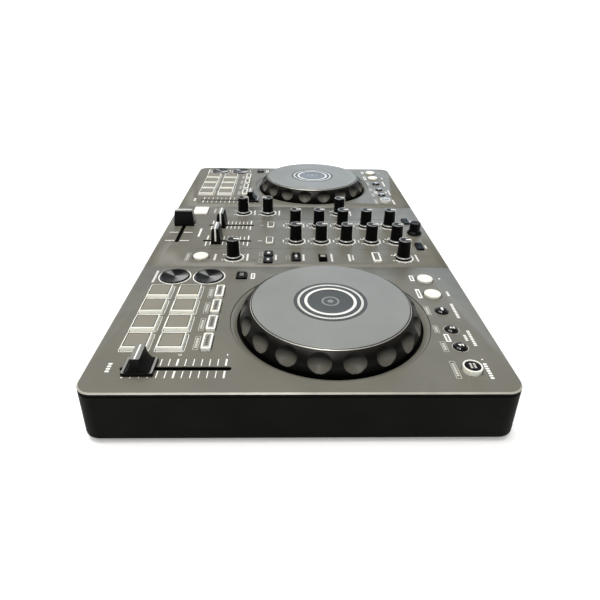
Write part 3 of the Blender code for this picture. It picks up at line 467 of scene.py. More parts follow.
def add_prism(bm, points, low, high, look=0):
    """A closed slab over an outline."""
    skin(bm, [[bm.verts.new((x, y, z)) for x, y in points] for z in (low, high)], [look, look])


def add_ring(bm, outer, inner, low, high, closed=True):
    """A closed band between two outlines that have the same number of points."""
    rows = [[bm.verts.new((x, y, z)) for x, y in points]
            for points, z in ((outer, low), (outer, high), (inner, high), (inner, low))]
    skin(bm, rows + rows[:1], closed=closed, ends=False)
    if not closed:
        for i in (0, -1):
            bm.faces.new([row[i] for row in rows])


def ride(piece, body, *nodes, slot=None):
    """Put a piece on its body and let it stand for its CAD nodes. The slot argument is not used."""
    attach(piece, body)
    if nodes:
        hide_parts(*nodes)
    return piece


# ---------------------------------------------------------------- printing

class Print:
    """Thin printed marks of one colour, collected into one mesh."""

    def __init__(self, base=PANEL_TOP):
        self.bm = bmesh.new()
        self.low = base - PRINT_SUNK
        self.high = base + PRINT_RISE

    def bar(self, place, half_x, half_y):
        """A plain rectangle."""
        self.box(place, half_x, half_y, 0.3 * min(half_x, half_y))

    def box(self, place, half_x, half_y, corner):
        """A filled rectangle with round corners."""
        points = shifted(outline(box_shape(half_x, half_y, corner, 3)), place)
        add_prism(self.bm, points, self.low, self.high)

    def dot(self, place, radius):
        """A filled circle."""
        add_prism(self.bm, shifted(outline(round_shape(radius, 16)), place), self.low, self.high)

    def frame(self, place, half_x, half_y, corner, width=LINE):
        """The outline of a rectangle."""
        shape = box_shape(half_x, half_y, corner, 5)
        outer, inner = shifted(outline(shape), place), shifted(outline(shape, width), place)
        add_ring(self.bm, outer, inner, self.low, self.high)

    def arc(self, place, radius, width, start=0, end=360, steps=64):
        """A band round a centre, from one angle to another in degrees."""
        angles = [math.radians(start + (end - start) * i / steps) for i in range(steps + 1)]
        outer, inner = (shifted([(reach * math.cos(a), reach * math.sin(a)) for a in angles], place)
                        for reach in (radius + width, radius))
        add_ring(self.bm, outer, inner, self.low, self.high, closed=False)

    def triangle(self, place, size, turn):
        """A filled triangle that points along turn, in degrees."""
        angles = [math.radians(turn + a) for a in (0, 120, 240)]
        points = shifted([(size * math.cos(a), size * math.sin(a)) for a in angles], place)
        add_prism(self.bm, points, self.low, self.high)

    def label(self, place, length, height=0.0018):
        """A row of plain blocks where a label is, with no lettering."""
        pitch = height * 0.95
        count = max(1, round(length / pitch))
        for i in range(count):
            x = place[0] + (i - (count - 1) / 2) * pitch
            self.bar((x, place[1]), pitch * 0.34, height / 2)

    def digit(self, place, segments, height=0.0034):
        """A number made of straight strokes: segments are (x, y, upright) in half sizes."""
        half = height / 4
        for x, y, upright in segments:
            spot = (place[0] + x * half, place[1] + y * half)
            size = (LINE * 0.6, half) if upright else (half, LINE * 0.6)
            self.bar(spot, *size)

    def put(self, name, look, body="root", slot="panel"):
        """Turn the marks into one piece that rides on a body."""
        ride(finish_mesh(self.bm, name, [look], weighted=False), body, slot=slot)


white_print = Print()
grey_print = Print()
dark_print = Print()
label_marks = []
BOX_HEIGHT = 0.0036


def filled_label(place, length):
    """Dark marks in a white box."""
    white_print.box(place, length / 2, BOX_HEIGHT / 2, 0.0006)
    marks = Print(PANEL_TOP + PRINT_RISE)
    marks.label(place, length * 0.7, BOX_HEIGHT * 0.42)
    label_marks.append(marks)


def outlined_label(place, length):
    """Pale marks in an outlined box."""
    grey_print.frame(place, length / 2, BOX_HEIGHT / 2, 0.0006, 0.0003)
    grey_print.label(place, length * 0.76, BOX_HEIGHT * 0.48)


# ---------------------------------------------------------------- panel and case

def jog_well_levels():
    """The wall of a jog wheel's well, from the panel down: radius and height."""
    throat, mouth = 0.0688, 0.073
    levels = [(mouth + 0.0007, PANEL_TOP), (mouth + 0.0003, PANEL_TOP - 0.0004), (mouth, PANEL_TOP - 0.0004)]
    for k in range(1, 7):
        t = k / 6
        levels.append((mouth + (throat - mouth) * t, PANEL_TOP - 0.0004 - 0.0024 * t ** 1.4))
    return levels + [(throat - 0.0003, PANEL_TOP - 0.0031), (throat - 0.0003, PANEL_TOP - 0.006)]


def panel_openings():
    """Every opening of the panel: shape, place and depth."""
    found = []

    def box_pocket(half, corner, place, depth=POCKET_DEPTH):
        """An opening round a rectangular key."""
        found.append((box_shape(half[0] + CLEARANCE, half[1] + CLEARANCE, corner), place, depth))

    def round_pocket(radius, place, steps):
        """An opening round a round key."""
        found.append((round_shape(radius + CLEARANCE, steps), place, POCKET_DEPTH))

    def slot(half_x, half_y, place):
        """A slot for a fader's stem."""
        found.append((box_shape(half_x, half_y, 0.0017), place, SLOT_DEPTH))

    for side in DECK_X:
        for place in pad_places(side):
            box_pocket((PAD_HALF, PAD_HALF), 0.0014, place)
        for place in mode_key_places(side):
            box_pocket(MODE_KEY_HALF, 0.0012, place)
        for title in ("cue", "play", "loop_in", "loop_out", "beat_loop", "sync"):
            node = side + "_" + title + "_button"
            round_pocket(key_half(node)[0], middle(node), 64)
        for place in call_key_places(side):
            round_pocket(SMALL_KEY_RADIUS, place, 40)
        slot(SLOT_HALF_WIDTH, TEMPO_HALF_SLOT, (middle(side + "_tempo_fader_cap")[0], FRONT + TEMPO_ROW))
    for node in rectangular_keys():
        box_pocket(key_half(node), 0.0012, middle(node))
    for place in beat_key_places():
        box_pocket(BEAT_KEY_HALF, 0.0012, place)
    round_pocket(key_half("effect_on_off_button")[0], middle("effect_on_off_button"), 56)
    box_pocket(SELECT_SLOT_HALF, 0.0008, middle("channel_select_switch"), SLOT_DEPTH)
    for number in (1, 2):
        x = middle("channel_%d_fader_cap" % number)[0]
        slot(SLOT_HALF_WIDTH, CHANNEL_HALF_SLOT, (x, FRONT + CHANNEL_ROW))
    slot(CROSS_HALF_SLOT, SLOT_HALF_WIDTH, (0.0, middle("crossfader_cap")[1]))
    return found


def pad_places(side):
    """Centres of a deck's pads, row by row from the front."""
    x, y = middle(side + "_pad_mat")
    return [(x + (column - 1.5) * PAD_PITCH[0], y + (row - 0.5) * PAD_PITCH[1])
            for row in range(2) for column in range(4)]


def mode_key_places(side):
    """Centres of a deck's mode keys."""
    x, y = middle(side + "_pad_mode_keys")
    return [(x + (column - 1.5) * PAD_PITCH[0], y) for column in range(4)]


def call_key_places(side):
    """Centres of a deck's two call keys."""
    x, y = middle(side + "_call_keys")
    return [(x - CALL_KEY_X, y), (x + CALL_KEY_X, y)]


def beat_key_places():
    """Centres of the two beat keys."""
    x, y = middle("beat_keys")
    return [(x - BEAT_KEY_X, y), (x + BEAT_KEY_X, y)]


def rectangular_keys():
    """Nodes of the keys with a rectangular outline of their own."""
    return ["left_shift_button", "right_shift_button", "load_1_button", "load_2_button",
            "channel_1_cue_button", "channel_2_cue_button", "smart_filter_button",
            "effect_select_button", "smart_fader_button"]


def add_wall(bm, shape, place, levels, looks):
    """Bands downwards through (inset, height) levels, closed below; returns the top ring."""
    rings = [[bm.verts.new((x, y, z)) for x, y in shifted(outline(shape, inset), place)]
             for inset, z in levels]
    skin(bm, rings, looks, ends=False)
    bm.faces.new(rings[-1]).material_index = looks[-1]
    return rings[0]


def build_panel():
    """The top panel, with a chamfer at its rim and round every opening; the rim's chamfer has a painted
    highlight, and the pockets are painted black as shade.
    """
    under = PANEL_TOP - PANEL_THICKNESS
    deep = PANEL_TOP - 0.0078
    chamfer, small = 0.0009, 0.00022
    face, painted_edge_highlight, hollow_painted_shade = 0, 1, 2
    bm = bmesh.new()
    rim = box_shape(HALF_WIDTH, HALF_DEPTH, CORNER_RADIUS, 14)
    levels = ((chamfer, PANEL_TOP), (0.0, PANEL_TOP - chamfer), (0.0, under + 0.0004), (0.0004, under),
              (0.0032, under), (0.0032, deep))
    # The rim's chamfer gets the painted highlight; the wall and underside below it get painted shade.
    tops = [add_wall(bm, rim, (0.0, 0.0), levels, (painted_edge_highlight, hollow_painted_shade, hollow_painted_shade, hollow_painted_shade, hollow_painted_shade))]
    for shape, place, depth in panel_openings():
        levels = ((-small, PANEL_TOP), (0.0, PANEL_TOP - small), (0.0, PANEL_TOP - 0.0008),
                  (0.0, PANEL_TOP - depth))
        tops.append(add_wall(bm, shape, place, levels, (face, face, hollow_painted_shade)))
    for side in DECK_X:
        levels = jog_well_levels()
        looks = (hollow_painted_shade, face) + (face,) * (len(levels) - 5) + (hollow_painted_shade, hollow_painted_shade)
        well = round_shape(0.0, 144)
        tops.append(add_wall(bm, well, middle(side + "_jog_wheel"), [(-r, z) for r, z in levels], looks))
    edges = []
    for ring in tops:
        for i, first in enumerate(ring):
            edges.append(bm.edges.get((first, ring[(i + 1) % len(ring)])))
    filled = bmesh.ops.triangle_fill(bm, use_beauty=True, use_dissolve=False, edges=edges, normal=(0, 0, 1))
    for item in filled["geom"]:
        if isinstance(item, bmesh.types.BMFace):
            item.material_index = face
    panel = finish_mesh(bm, "panel_shell", ["panel", "panel_edge_painted_highlight", "hollow_painted_shade"], angle=25.0, weighted=False)
    cut(panel, seam_cutter())
    return ride(panel, "root", "top_panel", slot="panel")


def seam_cutter():
    """The two grooves that divide the panel into decks and mixer."""
    bm = bmesh.new()
    for x in (-SEAM_X, SEAM_X):
        points = [(x - 0.00022, -HALF_DEPTH - 0.001), (x + 0.00022, -HALF_DEPTH - 0.001),
                  (x + 0.00022, HALF_DEPTH + 0.001), (x - 0.00022, HALF_DEPTH + 0.001)]
        add_prism(bm, points, PANEL_TOP - 0.0006, PANEL_TOP + 0.001)
    return finish_mesh(bm, "seam_cutter", ["panel"], weighted=False)


def cut(piece, cutter):
    """Cut a piece by another mesh and remove the cutter."""
    change = piece.modifiers.new("cut", "BOOLEAN")
    change.operation = "DIFFERENCE"
    change.solver = "EXACT"
    change.object = cutter
    bpy.context.view_layer.update()
    ready = piece.evaluated_get(bpy.context.evaluated_depsgraph_get())
    mesh = bpy.data.meshes.new_from_object(ready)
    piece.modifiers.clear()
    piece.data = mesh
    bpy.data.objects.remove(cutter)


def add_hole(bm, x, points, wall_y):
    """A rod along Y through a wall, to cut a socket's opening."""
    rows = [[bm.verts.new((x + a, wall_y + reach, SOCKET_Z + b)) for a, b in points]
            for reach in (-0.01, 0.01)]
    skin(bm, rows)


def build_case():
    """The bottom case with rounded lower edges, and openings for the sockets."""
    bottom, top, wall = CASE_BOTTOM, CASE_TOP, CASE_WALL
    profile = banded(
        ("case", (0.004, bottom), (0.0, bottom, 0.0026), (0.0, top, 0.0003), (wall, top, 0.0003),
         (wall, bottom + wall)))
    case = sweep("case_shell", box_shape(HALF_WIDTH, HALF_DEPTH, CORNER_RADIUS, 14), profile, steps=6)
    bm = bmesh.new()
    for x, radius in SOCKETS:
        add_hole(bm, x, outline(round_shape(radius, 40)), HALF_DEPTH)
    add_hole(bm, HEADPHONE_X, outline(round_shape(0.0042, 40)), FRONT)
    add_hole(bm, DATA_X, outline(box_shape(0.006, 0.003, 0.0012)), HALF_DEPTH)
    cut(case, finish_mesh(bm, "socket_cutter", ["case"], weighted=False))
    return ride(case, "root", "bottom_case", slot="case")


def face_out(bm, x, back=True):
    """Turn what stands on the origin out of the back or front wall."""
    turn = Matrix.Rotation(-math.pi / 2 if back else math.pi / 2, 4, "X")
    bm.transform(Matrix.Translation((x, HALF_DEPTH if back else FRONT, SOCKET_Z)) @ turn)


def turned_on_wall(name, x, profile, back=True, steps=40):
    """A turned socket part on the back or front wall; profile points are (radius, depth)."""
    bm = bmesh.new()
    outer = profile[0][0]
    rows = [(outer - radius, depth, look) for radius, depth, _, look in profile]
    add_sweep(bm, round_shape(outer, steps), rows, looks_of(profile))
    face_out(bm, x, back)
    return finish_mesh(bm, name, looks_of(profile))


def build_sockets():
    """Two line outputs, a microphone socket, a data socket and a headphone socket."""
    pieces = []
    for x, look in zip(LINE_OUT_X, ("ring_white", "ring_red")):
        profile = banded(
            ("hollow_painted_shade", (0.0069, -0.01)),
            (look, (0.0069, -0.0004), (0.006, -0.0002), (0.006, -0.0076)),
            ("steel", (0.0043, -0.0076), (0.0043, -0.0001), (0.0041, 0.0001)),
            (look, (0.0031, 0.0001), (0.0017, 0.0001)),
            ("hollow_painted_shade", (0.0014, -0.0003), (0.0014, -0.007), (0.0002, -0.007)))
        pieces.append(turned_on_wall("line_out_%s" % look, x, profile))
    profile = banded(
        ("hollow_painted_shade", (0.006, -0.018)),
        ("steel", (0.006, -0.0002), (0.0057, 0.0001), (0.0035, 0.0001)),
        ("hollow_painted_shade", (0.0031, -0.0003), (0.0031, -0.015), (0.0002, -0.015)))
    pieces.append(turned_on_wall("microphone_jack", MIC_X, profile))
    profile = banded(
        ("hollow_painted_shade", (0.004, -0.006)),
        ("gloss_black", (0.004, -0.0002), (0.0037, 0.0001)),
        ("steel", (0.0022, 0.0001), (0.0019, 0.0001)),
        ("hollow_painted_shade", (0.0016, -0.0003), (0.0016, -0.0055), (0.0002, -0.0055)))
    pieces.append(turned_on_wall("headphone_jack", HEADPHONE_X, profile, back=False))
    bm = bmesh.new()
    shape = box_shape(0.0046, 0.0017, 0.0016, 6)
    looks = ["steel", "hollow_painted_shade", "black_key"]
    rows = [(-0.0012, -0.008, "steel"), (-0.0012, -0.0004, "steel"), (-0.0009, -0.0002, "steel"),
            (0.0, -0.0002, "steel"), (0.0003, -0.0004, "hollow_painted_shade"), (0.0003, -0.0062, "hollow_painted_shade")]
    add_sweep(bm, shape, rows, looks)
    tongue = [(0.0, -0.0062, "black_key"), (0.0, -0.0012, "black_key")]
    add_sweep(bm, box_shape(0.0032, 0.0004, 0.0002), tongue, looks)
    face_out(bm, DATA_X)
    pieces.append(finish_mesh(bm, "data_port", looks))
    for piece in pieces:
        ride(piece, "root", slot="socket")


def build_underside():
    """Rubber feet and screws under the case."""
    bottom = CASE_BOTTOM
    inset = 0.03
    spots = [(sx * (HALF_WIDTH - inset), sy * (HALF_DEPTH - inset)) for sx in (-1, 1) for sy in (-1, 1)]
    for number, spot in enumerate(spots, 1):
        profile = banded(
            ("rubber", (0.007, 0.0006), (0.0058, 0.0006, 0.0002), (0.0052, 0.0, 0.0003),
             (0.0, 0.0, 0.0008), (0.0, bottom + 0.0003)))
        ride(sweep("foot_%d" % number, round_shape(0.009), profile, spot), "root", slot="case")
    spots = [(x, y) for y in (-0.122, 0.0, 0.122) for x in (-0.16, -0.055, 0.055, 0.16)]
    bm = bmesh.new()
    looks = ["steel", "hollow_painted_shade"]
    for x, y in spots:
        rows = [(0.0, bottom + 0.0006, "hollow_painted_shade"), (0.0, bottom - 0.0002, "steel"),
                (0.0006, bottom - 0.0005, "steel"), (0.0021, bottom - 0.0006, "steel")]
        add_sweep(bm, round_shape(0.0027, 28), rows, looks, (x, y))
        for half in ((0.0011, 0.00028), (0.00028, 0.0011)):
            bar = shifted(outline(box_shape(*half, 0.0001, 2)), (x, y))
            add_prism(bm, bar, bottom - 0.00065, bottom - 0.0003, 1)
    ride(finish_mesh(bm, "case_screws", looks), "root", slot="shaft")


# ---------------------------------------------------------------- jog wheels

WHEEL_DIMPLES = 18
STEPS_PER_DIMPLE = 44
DIMPLE_DEPTH = 0.0035
DIMPLE_HALF = (0.0078, 0.0072)
WHEEL_START = math.radians(10.0)


def wheel_curve(top, steps=46):
    """The wheel's rounded side from under the plate's rim down to the panel, as (radius, height)."""
    a, b = Vector((0.0586, top - 0.0012)), Vector((0.0607, top - 0.0013))
    c, d = Vector((0.0668, PANEL_TOP + 0.0066)), Vector((0.0666, PANEL_TOP - 0.0006))
    points = []
    for k in range(steps + 1):
        t = k / steps
        points.append(a * (1 - t) ** 3 + b * 3 * t * (1 - t) ** 2 + c * 3 * t * t * (1 - t) + d * t ** 3)
    return points


def along_curve(curve, lengths, reach):
    """The point at a distance along a curve, and the direction into the wheel there."""
    k = 0
    while k < len(curve) - 2 and lengths[k + 1] < reach:
        k += 1
    share = (reach - lengths[k]) / (lengths[k + 1] - lengths[k])
    step = curve[k + 1] - curve[k]
    return curve[k] + step * share, Vector((step.y, -step.x)).normalized()


def build_wheel(side):
    """The wheel: its side has 18 round finger dimples with crisp rims."""
    top = top_of(side + "_jog_plate")
    steps = WHEEL_DIMPLES * STEPS_PER_DIMPLE
    curve = wheel_curve(top)
    lengths = [0.0]
    for first, second in zip(curve, curve[1:]):
        lengths.append(lengths[-1] + (second - first).length)
    centre = lengths[-1] * 0.545
    rim_snap = 0.045

    def level_ring(bm, radius, z):
        """A plain ring of the wheel."""
        return [bm.verts.new((x, y, z)) for x, y in outline(round_shape(radius, steps))]

    bm = bmesh.new()
    rows = [level_ring(bm, 0.002, top - 0.003), level_ring(bm, 0.0575, top - 0.003),
            level_ring(bm, 0.0576, top - 0.0014)]
    last = len(curve) - 1
    dipped = set()
    for k in range(len(curve)):
        row = []
        for i in range(steps):
            cell = (i + STEPS_PER_DIMPLE / 2) % STEPS_PER_DIMPLE - STEPS_PER_DIMPLE / 2
            across = cell * 2 * math.pi / steps * curve[k].x / DIMPLE_HALF[0]
            down = (lengths[k] - centre) / DIMPLE_HALF[1]
            reach = math.hypot(across, down)
            turn = 2 * math.pi * i / steps
            distance = lengths[k]
            if abs(reach - 1.0) < rim_snap and 0 < k < last:
                turn += across * (1.0 / reach - 1.0) * DIMPLE_HALF[0] / curve[k].x
                distance = centre + down / reach * DIMPLE_HALF[1]
                reach = 1.0
            point, inward = along_curve(curve, lengths, distance)
            spot = point + inward * DIMPLE_DEPTH * max(0.0, 1.0 - reach * reach)
            row.append(bm.verts.new((spot.x * math.cos(turn), spot.x * math.sin(turn), spot.y)))
            if reach < 1.0:
                dipped.add(row[-1])
        rows.append(row)
    rows += [level_ring(bm, 0.0662, PANEL_TOP - 0.0048), level_ring(bm, 0.063, PANEL_TOP - 0.005),
             level_ring(bm, 0.002, PANEL_TOP - 0.005)]
    for upper, lower in zip(rows, rows[1:]):
        for i in range(steps):
            j = (i + 1) % steps
            corners = (upper[i], upper[j], lower[j], lower[i])
            inside = sum(corner in dipped for corner in corners)
            bm.faces.new(corners).material_index = 1 if inside > 1 else 0
    bm.faces.new(rows[0])
    bm.faces.new(rows[-1])
    x, y = middle(side + "_jog_wheel")
    # Both looks carry painted light and shade that change with height.
    looks = ["jog_side_painted_shading", "dimple_painted_shading"]
    wheel = finish_mesh(bm, side + "_wheel", looks, (x, y, 0.0), angle=24.0, weighted=False)
    wheel.rotation_euler = (0.0, 0.0, WHEEL_START)
    return ride(wheel, side + "_jog", side + "_jog_wheel", slot="jog_rim")


def build_plate(side):
    """The touch plate with a bright rim, pale rings round its middle, and a plain centre mark."""
    top = top_of(side + "_jog_plate")
    radius = 0.0588
    rings = [(0.027, "jog_halo"), (0.0245, "jog_disc"), (0.0223, "jog_halo"), (0.0195, "ring_white"),
             (0.017, "jog_disc")]
    profile = banded(
        ("jog_edge", (0.004, top - 0.0026), (0.0, top - 0.0021, 0.0002), (0.0, top - 0.0012, 0.0003)),
        ("hollow_painted_shade", (0.0005, top - 0.0008, 0.0001), (0.0009, top - 0.0008)),
        ("jog_plate", (0.0011, top - 0.0006), (0.0017, top - 0.0001, 0.0004)))
    step = 0.00012
    for outer, look in rings:
        profile += banded(
            ("hollow_painted_shade", (radius - outer, top - 0.0001), (radius - outer + step, top - 0.0001 - step)),
            (look, (radius - outer + 2 * step, top - 0.0001)))
    profile += banded(
        ("jog_disc", (radius - 0.0162, top - 0.0001), (radius - 0.0158, top - 0.0003),
         (radius - 0.001, top - 0.0003)))
    place = middle(side + "_jog_wheel")
    plate = sweep(side + "_plate", round_shape(radius, 144), profile, place, steps=3)
    ride(plate, side + "_jog", side + "_jog_plate", slot="jog_plate")
    marks = Print(top - 0.0001)
    teeth, inner, outer, across = 120, 0.02255, 0.0244, 0.00046
    for i in range(teeth):
        turn = Matrix.Rotation(2 * math.pi * i / teeth, 2)
        points = [turn @ Vector(spot) for spot in ((inner, across), (outer, across), (outer, -across),
                                                   (inner, -across))]
        add_prism(marks.bm, shifted(points, place), marks.low, marks.high)
    marks.put(side + "_plate_ring", "ring_white", side + "_jog", "jog_plate")
    marks = Print(top - 0.0003)
    marks.arc(place, 0.0052, 0.0014, steps=48)
    marks.dot(place, 0.0022)
    marks.put(side + "_plate_centre", "emblem", side + "_jog", "jog_plate")


# ---------------------------------------------------------------- keys

def plain_key(node, look, slot, inset_look=None, margin=0.0011):
    """A rectangular key with soft edges and, if asked, an inset panel on top."""
    half = key_half(node)
    top = top_of(node)
    low = PANEL_TOP - KEY_SKIRT
    profile = banded((look, (0.0, low), (0.0, top, 0.0006)))
    if inset_look:
        profile += [(margin, top, 0.0001, "hollow_painted_shade"), (margin + 0.00015, top - 0.0002, 0.0, "hollow_painted_shade"),
                    (margin + 0.0003, top - 0.0002, 0.0, "hollow_painted_shade"),
                    (margin + 0.0004, top - 0.00005, 0.0001, inset_look),
                    (margin + 0.0014, top - 0.00005, 0.0, inset_look)]
    else:
        profile += banded((look, (0.0016, top)))
    shape = box_shape(*half, 0.0012)
    key = sweep(node.replace("_button", "_key"), shape, profile, middle(node))
    return ride(key, node, node, slot=slot)


def key_print(node):
    """Marks on top of a key."""
    return Print(top_of(node) - MARK_SUNK)


def build_pads(side):
    """Eight pads and four mode keys, each set on its own web."""
    node = side + "_pad_mat"
    top = top_of(node)
    profile = banded(
        ("pad_body", (0.0, PANEL_TOP - KEY_SKIRT), (0.0, PANEL_TOP + 0.0002),
         (0.0006, top - 0.0003, 0.0003), (0.001, top, 0.0002)),
        ("hollow_painted_shade", (0.0014, top, 0.0001), (0.0016, top - 0.0003), (0.0018, top - 0.0003)),
        ("pad_top", (0.0019, top - 0.00005, 0.0001), (0.004, top - 0.00005)))
    looks = ["pad_body", "hollow_painted_shade", "pad_top"]
    bm = bmesh.new()
    shape = box_shape(PAD_HALF, PAD_HALF, 0.0012)
    rows = fillet(profile, 3)
    for x, y in pad_places(side):
        add_sweep(bm, shape, rows, looks, (x, y))
    pads = finish_mesh(bm, side + "_pads", looks)
    ride(pads, side + "_pad_mat", node, slot="pad")
    node = side + "_pad_mode_keys"
    top = top_of(node)
    profile = banded(
        ("white_key", (0.0, PANEL_TOP - KEY_SKIRT), (0.0, top, 0.0005)),
        ("print_dark", (0.0014, top)),
        ("inset", (0.0017, top - 0.0001), (0.0024, top - 0.0001)))
    looks = ["white_key", "print_dark", "inset"]
    bm = bmesh.new()
    marks = Print(top - 0.0001)
    for x, y in mode_key_places(side):
        add_sweep(bm, box_shape(*MODE_KEY_HALF, 0.001), fillet(profile, 3), looks, (x, y))
        marks.label((x, y), 0.012, 0.002)
    keys = finish_mesh(bm, side + "_mode_keys", looks)
    ride(keys, node, node, slot="white_key")
    marks.put(side + "_mode_key_marks", "print_dark", node, "white_key")


def build_transport(side, title):
    """A round start key: a black edge and a dished, spun metal face with highlight wedges painted into its
    colour.
    """
    node = side + "_" + title + "_button"
    radius = key_half(node)[0]
    top = top_of(node)
    profile = banded(
        ("gloss_black", (0.0, PANEL_TOP - KEY_SKIRT), (0.0, top, 0.0005), (0.0008, top, 0.0001)),
        ("spun_metal", (0.0012, top - 0.0002), (radius * 0.55, top - 0.0006, 0.0015),
         (radius - 0.0002, top - 0.0007)))
    key = sweep(side + "_" + title + "_key", round_shape(radius, 72), profile, middle(node), steps=5)
    ride(key, node, node, slot="spun_metal")


def round_key(node, profile, slot, steps=56):
    """A round key from a profile of (inset, height above the panel, radius, look)."""
    radius = key_half(node)[0]
    rows = [(inset, PANEL_TOP + height, rounding, look) for inset, height, rounding, look in profile]
    look = rows[0][3]
    rows.insert(0, (0.0, PANEL_TOP - KEY_SKIRT, 0.0, look))
    key = sweep(node.replace("_button", "_key"), round_shape(radius, steps), rows, middle(node), steps=5)
    return ride(key, node, node, slot=slot)


def build_small_round_keys(side):
    """Loop, call and beat keys along the back of a deck."""
    for title in ("loop_in", "loop_out"):
        node = side + "_" + title + "_button"
        rise = top_of(node) - PANEL_TOP
        round_key(node, banded(
            ("white_key", (0.0, rise * 0.62, 0.0008), (0.0016, rise * 0.92, 0.002),
             (0.0064, rise))), "white_key")
    node = side + "_beat_loop_button"
    rise = top_of(node) - PANEL_TOP
    dome = banded(
        ("gloss_black", (0.0, rise * 0.45, 0.0004), (0.0012, rise * 0.9, 0.001), (0.0043, rise)))
    round_key(node, dome, "black_key", 48)
    marks = key_print(node)
    marks.box(middle(node), 0.0019, 0.0008, 0.0004)
    marks.put(side + "_beat_loop_mark", "print", node, "black_key")
    node = side + "_call_keys"
    bm = bmesh.new()
    marks = key_print(node)
    rows = banded(("gloss_black", (0.0, PANEL_TOP - KEY_SKIRT)))
    rows += [(inset, PANEL_TOP + height, rounding, look) for inset, height, rounding, look in dome]
    for (x, y), turn in zip(call_key_places(side), (180, 0)):
        add_sweep(bm, round_shape(SMALL_KEY_RADIUS, 48), fillet(rows, 5), ["gloss_black"], (x, y))
        marks.triangle((x, y - 0.0004), 0.0016, turn)
        marks.box((x, y + 0.0016), 0.0013, 0.0005, 0.0003)
    ride(finish_mesh(bm, side + "_call_key_pair", ["gloss_black"]), node, node, slot="black_key")
    marks.put(side + "_call_key_marks", "print", node, "black_key")
    node = side + "_sync_button"
    rise = top_of(node) - PANEL_TOP
    round_key(node, banded(
        ("white_key", (0.0, rise, 0.0005), (0.0009, rise, 0.0001)),
        ("gloss_black", (0.0011, rise - 0.0003), (0.002, rise - 0.0002, 0.0003),
         (0.006, rise - 0.0001))), "white_key")
    marks = key_print(node)
    x, y = middle(node)
    marks.label((x, y + 0.0012), 0.0052, 0.0014)
    marks.label((x, y - 0.0012), 0.0052, 0.0014)
    marks.put(side + "_sync_marks", "print_grey", node, "white_key")


def build_mixer_keys():
    """The mixer's rectangular keys, each with its own face."""
    for number in (1, 2):
        node = "load_%d_button" % number
        plain_key(node, "black_key", "black_key")
        marks = key_print(node)
        x, y = middle(node)
        for shift in (-0.0013, 0.0013):
            marks.bar((x, y + shift), 0.0058, 0.0008)
        marks.put("load_%d_marks" % number, "print_grey", node, "black_key")
        node = "channel_%d_cue_button" % number
        plain_key(node, "white_key", "black_key", "inset_dark")
    for side in DECK_X:
        plain_key(side + "_shift_button", "black_key", "black_key", "inset_dark", 0.0022)
    plain_key("smart_filter_button", "white_key", "white_key", "inset_dark", 0.0018)
    plain_key("smart_fader_button", "white_key", "white_key")
    plain_key("effect_select_button", "black_key", "black_key", "inset_dark", 0.0024)
    marks = key_print("effect_select_button")
    marks.triangle(middle("effect_select_button"), 0.0019, -90)
    marks.put("effect_select_mark", "print", "effect_select_button", "black_key")
    node = "beat_keys"
    top = top_of(node)
    rows = fillet(banded(
        ("black_key", (0.0, PANEL_TOP - KEY_SKIRT), (0.0, top, 0.0005)),
        ("hollow_painted_shade", (0.002, top, 0.0001), (0.0022, top - 0.0002)),
        ("inset_dark", (0.0024, top - 0.00005, 0.0001), (0.003, top - 0.00005))), 3)
    bm = bmesh.new()
    looks = ["black_key", "hollow_painted_shade", "inset_dark"]
    marks = key_print(node)
    for (x, y), turn in zip(beat_key_places(), (180, 0)):
        add_sweep(bm, box_shape(*BEAT_KEY_HALF, 0.001), rows, looks, (x, y))
        marks.triangle((x, y), 0.0019, turn)
    ride(finish_mesh(bm, "beat_key_pair", looks), node, node, slot="black_key")
    marks.put("beat_key_marks", "print", node, "black_key")
    node = "effect_on_off_button"
    rise = top_of(node) - PANEL_TOP
    round_key(node, banded(
        ("white_key", (0.0, rise * 0.7, 0.0006), (0.0014, rise, 0.0012), (0.006, rise))), "white_key")
    node = "channel_select_switch"
    top = top_of(node)
    shape = box_shape(*half_of(node), 0.0006)
    profile = banded(
        ("cap", (0.0, PANEL_TOP - 0.002), (0.0, top, 0.0004)),
        ("inset", (0.0007, top, 0.0001), (0.0012, top - 0.0001)))
    ride(sweep("channel_select_slider", shape, profile, middle(node)), node, node, slot="knob")


# ---------------------------------------------------------------- knobs and faders

KNOB_PROFILE = banded(
    ("knob", (0.0074, 0.0003), (0.0074, 0.0014, 0.0003)),
    # a pale band painted on the skirt as a highlight
    ("skirt_painted_highlight", (0.0071, 0.0018)),
    ("knob", (0.0063, 0.0027, 0.0003), (0.0059, 0.0036, 0.0006)),
    # the top rim's band is a painted highlight
    ("knob_rim_painted_highlight", (0.0056, 0.0182, 0.0002), (0.0054, 0.0187, 0.0004), (0.0047, 0.0187, 0.0003)),
    ("knob_top", (0.0044, 0.01845, 0.0002), (0.0004, 0.01835)))


def add_strip(bm, path, half_width, rise, sink, long_way, look=0):
    """A strip that lies on a surface along X or Y (long_way 0 or 1); path is (distance, height)."""
    rows = []
    for k, here in enumerate(path):
        before, after = path[max(k - 1, 0)], path[min(k + 1, len(path) - 1)]
        step = (Vector(after) - Vector(before)).normalized()
        out = Vector((-step.y, step.x))
        high, low = Vector(here) + out * rise, Vector(here) - out * sink
        row = ((-half_width, low), (-half_width, high), (half_width, high), (half_width, low))
        rows.append([bm.verts.new((x, spot.x, spot.y) if long_way else (spot.x, x, spot.y))
                     for x, spot in row])
    skin(bm, rows, [look] * len(rows))


